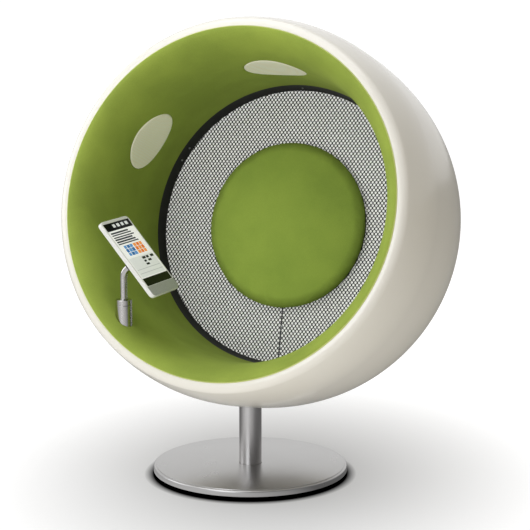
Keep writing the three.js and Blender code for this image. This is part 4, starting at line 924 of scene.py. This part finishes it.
# painted shade: the cushion's board near black, standing for the dark gap at the cushion's edge
SHADE_BLACK_PLYWOOD = wood("plywood_birch_painted_shade_black", 0x14120F, 0x24211C)
SCREEN = glass_page()


# Pieces


def drill(radius, low, high, turns, x=0.0, y=0.0):
    """An upright cutter between two heights."""
    return upright("bore", [[0, low], [radius, low], [radius, high], [0, high]], turns, x=x, y=y)


def holes_for_speakers():
    """Oval cutters through the liner at the three speakers, a gap wider than their covers."""
    gap, inside, outside = 0.9, 300, 560
    outline = oval(COVER_HALF_ACROSS + gap, COVER_HALF_AXIAL + gap, COVER_TURNS)
    places = [on_wall(angle, COVER_AXIAL) for angle in (-SPEAKER_ANGLE, 0, SPEAKER_ANGLE)]
    return [prism("window", outline, inside, outside, place) for place in places]


def build_pod():
    """Shell, liner, covers, ring, grille and cushion."""
    column_hole = drill(COLUMN_RADIUS + 2, 150, 300, 96)
    arm_hole = drill(SOCKET_RADIUS + 0.4, 450, 600, 64, *ARM)
    shell = cut_by(in_pod("outer_shell_gelcoat", shell_profile(), POD_TURNS), column_hole)
    show(shell, "pod", "gelcoat", GELCOAT, "outer_shell")
    whole = in_pod("liner_felt", liner_profile(), POD_TURNS, True)
    liner = cut_by(whole, arm_hole, *holes_for_speakers())
    show(liner, "pod", "felt", FELT, "liner_upholstery")
    for side, angle in (("left", -SPEAKER_ANGLE), ("top", 0), ("right", SPEAKER_ANGLE)):
        cover = cover_surface("speaker_cover_cloth_" + side, angle)
        show(cover, "pod", "cover_cloth", COVER_CLOTH, "speaker_cover_" + side)
    ring_front, ring_back = LINER_BACK_AXIAL - CLEARANCE, GRILLE_AXIAL - GRILLE_THICK - 2.7
    ring = [
        [LINER_BACK_RADIUS + CLEARANCE, ring_front],
        [GRILLE_VISIBLE + 0.6, GRILLE_AXIAL + 1.6],
        [GRILLE_VISIBLE, GRILLE_AXIAL + 0.9],
        [GRILLE_VISIBLE + 0.3, GRILLE_AXIAL + CLEARANCE],
        [GRILLE_RADIUS + CLEARANCE, GRILLE_AXIAL + CLEARANCE],
        [GRILLE_RADIUS + CLEARANCE, ring_back],
        [LINER_BACK_RADIUS + UPHOLSTERY - 2, ring_back],
        [LINER_BACK_RADIUS + UPHOLSTERY, ring_front],
    ]
    made = in_pod("ring_frame_steel", ring, RING_TURNS, True)
    show(made, "pod", "black_steel", BLACK_COAT, "ring_frame")
    show(grille_lattice("grille_sheet"), "pod", "black_steel", BLACK_COAT, "grille")
    show(seam_strips("grille_seam"), "pod", "black_steel", BLACK_COAT)
    show(panel_cloth("backing_cloth_white"), "pod", "panel_cloth", PANEL_CLOTH, "backing_panel")
    pad = pad_cushion()
    show(pad, "pod", "felt", PAD_FELT, "pad_cushion")


def build_base():
    """Disc, foot and column."""
    disc = upright("base_cover_steel", base_profile(), RING_TURNS, True)
    show(disc, "base", "stainless", DISC_STEEL, "base_cover")
    edge, thick, bottom_bevel, top_bevel = FOOT_RADIUS, FOOT_THICK, 0.8, 0.7
    bottom = [[0, 0], [edge - bottom_bevel, 0], [edge, bottom_bevel]]
    top = [[edge, thick - top_bevel], [edge - top_bevel, thick], [0, thick]]
    foot = upright("foot_pad_rubber", bottom + top, PANEL_TURNS)
    show(foot, "base", "rubber_pad", RUBBER, "foot_pad")
    low, high = heights("column_tube")
    top = low + FLANGE_THICK
    flange = [[COLUMN_BORE, low], [FLANGE_RADIUS, low], [FLANGE_RADIUS, top], [COLUMN_RADIUS, top]]
    profile = flange + [[COLUMN_RADIUS, high], [COLUMN_BORE, high]]
    column = upright("column_tube_steel", profile, COLUMN_TURNS, True)
    show(column, "base", "stainless", COLUMN_STEEL, "column_tube")


def heights(node):
    """Lowest and highest height of a node of the part, in millimetres."""
    low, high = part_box(node)
    return low.z / MM, high.z / MM


def sleeve(name, node, bore, foot, crown):
    """A ring about the arm, as high as a node of the part, bevelled at its foot and crown."""
    low, high = heights(node)
    outer, inner = SOCKET_RADIUS, 0.7
    wall = [[bore, low], [outer, low]]
    if foot:
        wall = [[bore, low], [outer - foot, low], [outer, low + foot]]
    wall += [[outer, high - crown], [outer - crown, high]]
    wall += [[bore + inner, high], [bore, high - inner]]
    return upright(name, wall, SOCKET_TURNS, True, *ARM)


def build_arm():
    """Socket, collar, tube and tilting head."""
    socket = sleeve("arm_socket_steel", "arm_socket", BUSH_RADIUS + CLEARANCE, foot=0, crown=0.9)
    show(socket, "pod", "stainless", ARM_STEEL, "arm_socket")
    collar = sleeve("arm_collar_steel", "arm_collar", ARM_TUBE + CLEARANCE, foot=0.9, crown=1.3)
    show(collar, "arm", "stainless", ARM_STEEL, "arm_collar")
    show(arm_tube("arm_tube_steel"), "arm", "stainless", ARM_STEEL, "arm_tube")
    show(tilt_head("tilt_head_plastic"), "arm", "black_plastic", BLACK_PLASTIC, "tilt_head")


def build_tablet():
    """Case, bezel and screen."""
    show(tablet_case(), "tablet", "white_plastic", WHITE_PLASTIC, "tablet_case")
    show(tablet_bezel(), "tablet", "white_plastic", BEZEL_PLASTIC, "tablet_bezel")
    show(tablet_screen("tablet_screen_glass"), "tablet", "screen_glass", SCREEN, "tablet_glass")


def dress_nodes():
    """Finishes of the part's own nodes, by the slot of each."""
    kept = dict(
        felt=FELT, gelcoat=GELCOAT, fibreglass=FIBREGLASS, plywood=PLYWOOD,
        steel=PLAIN_STEEL, black_steel=BLACK_COAT, stainless=ARM_STEEL, heatsink=HEATSINK,
        panel_cloth=PANEL_CLOTH, cover_cloth=COVER_CLOTH, cone_fibre=CONE, nylon=NYLON,
        rubber_pad=RUBBER, cable=RUBBER, screen_glass=SCREEN,
        black_plastic=BLACK_PLASTIC, white_plastic=WHITE_PLASTIC, display=BLACK_PLASTIC,
    )
    for part in frame["record"]["subparts"]:
        name, slot = part["node"], part["material_slot"]
        # the cushion's board shows at its edge, so it is near black as painted shade there
        paint(frame["nodes"][name], SHADE_BLACK_PLYWOOD if name == "pad_board" else kept[slot])


# Room

WARM, COOL = 0xFFF7E6, 0xF8FBFF
FRONT_TURN = math.radians(24.04)
FLOOR_HALF = 60 / MM


def plain_light(name, place, size, power, aim=(0, 0, 0.9)):
    """A square soft lamp at a place in metres, turned towards the pod."""
    lamp = bpy.data.lights.new(name, "AREA")
    lamp.size, lamp.energy, lamp.color = size, power, linear(COOL)[:3]
    made = linked(name, lamp)
    made.location = place
    made.rotation_euler = (Vector(aim) - Vector(place)).to_track_quat("-Z", "Y").to_euler()
    made.visible_camera = False


def build_floor():
    """A pale floor that fades to white, with the soft shadow of the foot."""
    corners = [(x * FLOOR_HALF, y * FLOOR_HALF, 0) for x in (-1, 1) for y in (-1, 1)]
    floor = plain_object("floor", corners, quads(2, 2, False, False))
    plain = {"Base_Color": linear(0xE6E6E6), "Roughness": 0.9, "Specular_IOR_Level": 0.1}
    material, tree, shader, place = finish("floor_pale", Emission_Color=linear(WARM), **plain)
    rays = add(tree, "LightPath").outputs
    bounce = add(tree, "Math", {1: 0.25}, {0: rays["Is Diffuse Ray"]}, operation="MULTIPLY")
    feed(tree, shader, Emission_Strength=bounce.outputs[0])
    # seen by the camera: a pool of shade under the pod that runs out into white
    pool = distance_from(tree, place, (0.0664, -0.0481, 0), (1.45, 1.91, 1))
    level = ranged(tree, pool, 0.13, 0.747, 0.46, 1.36)
    pale = glowing(tree, level)
    seen = rays["Is Camera Ray"]
    share = add(tree, "Math", {1: 0.75}, {0: seen}, operation="MULTIPLY").outputs[0]
    look = blended(tree, share, shader.outputs[0], pale)
    # and a painted shadow: the dark line where the disc meets the floor
    near = distance_from(tree, place, (0.0143, -0.032, 0), (0.985, 1, 1))
    dark = ranged(tree, near, 0.334, 0.366, 1, 0)
    black = add(tree, "Emission", {"Color": (0, 0, 0, 1), "Strength": 0.0}).outputs[0]
    look = blended(tree, product(tree, dark, seen), look, black)
    # seen in metal: bright in front, dim to the right
    way = add(tree, "VectorMath", None, {0: place}, operation="NORMALIZE").outputs[0]
    strength = ranged(tree, dotted(tree, way, (-0.14, -0.99, 0)), 0.25, 1, 0.22, 1)
    look = blended(tree, rays["Is Glossy Ray"], look, glowing(tree, strength))
    tree.links.new(look, node_of(tree, "OUTPUT_MATERIAL").inputs["Surface"])
    floor.data.materials.append(material)


def distance_from(tree, place, centre, size):
    """How far a point is from a centre, in metres, on ovals that face the room's front."""
    values = {"Location": centre, "Rotation": (0, 0, FRONT_TURN), "Scale": size}
    moved = add(tree, "Mapping", values, {"Vector": place}, vector_type="TEXTURE").outputs[0]
    return length_of(tree, moved)


def glowing(tree, strength):
    """White light of a strength that comes from another node."""
    return add(tree, "Emission", {"Color": (1, 1, 1, 1)}, {"Strength": strength}).outputs[0]


def blended(tree, share, first, second):
    """Two shaders mixed by a share."""
    return add(tree, "MixShader", None, {0: share, 1: first, 2: second}).outputs[0]


def build_world():
    """White behind the object, a studio for metal to show, and a dim warm grey for its light."""
    world = bpy.data.worlds.new("studio")
    bpy.context.scene.world = world
    world.use_nodes = True
    tree = world.node_tree
    tree.nodes.clear()
    rays = add(tree, "LightPath").outputs
    either = {0: rays["Is Camera Ray"], 1: rays["Is Transmission Ray"]}
    seen = add(tree, "Math", None, either, operation="MAXIMUM").outputs[0]
    white = add(tree, "Background", {"Color": (1, 1, 1, 1), "Strength": 1.0}).outputs[0]
    # what metal sees: bright to the left, above and behind, dim to the right
    ways = add(tree, "TexCoord").outputs["Generated"]
    level = ranged(tree, dotted(tree, ways, (-0.75, 0.45, 0.48)), -0.6, 0.6, 0.2, 1)
    studio = add(tree, "Background", {"Color": (1, 1, 1, 1)}, {"Strength": level}).outputs[0]
    dim = add(tree, "Background", {"Color": linear(WARM), "Strength": 0.3}).outputs[0]
    look = blended(tree, seen, blended(tree, rays["Is Glossy Ray"], dim, studio), white)
    out = tree.nodes.new("ShaderNodeOutputWorld")
    tree.links.new(look, out.inputs["Surface"])


def build_camera():
    """The photograph's camera: 6 m away, a little above and to the right."""
    around, above, distance = FRONT_TURN, math.radians(9.98), 6.0
    focal_pixels, picture_pixels, sensor_mm = 1787.8, 530, 36
    level = math.cos(above)
    back = Vector((math.sin(around) * level, -math.cos(around) * level, math.sin(above)))
    right = Vector((math.cos(around), math.sin(around), 0))
    target = right * 0.04971 + Vector((0, 0, 0.70956))
    camera = bpy.data.cameras.new("camera")
    camera.sensor_width = sensor_mm
    camera.lens = focal_pixels / picture_pixels * sensor_mm
    made = linked("camera", camera)
    turn = Matrix((right, back.cross(right), back)).transposed().to_4x4()
    made.matrix_world = Matrix.Translation(target + back * distance) @ turn
    bpy.context.scene.camera = made


build_pod()
build_base()
build_arm()
build_tablet()
dress_nodes()
build_floor()
build_world()
build_camera()
plain_light("key", (-2.6, -4.6, 4.2), size=2.6, power=36)
plain_light("top", (-0.6, -0.8, 5.0), size=4.0, power=102)
plain_light("front", (-0.4, -6.0, 1.6), size=3.0, power=96)
plain_light("left", (-5.0, -1.5, 2.2), size=3.0, power=47)
plain_light("low", (0.9, -0.5, 0.04), size=1.2, power=1, aim=(0.75, -0.4, 0.9))
bpy.context.scene.view_settings.view_transform = "Standard"
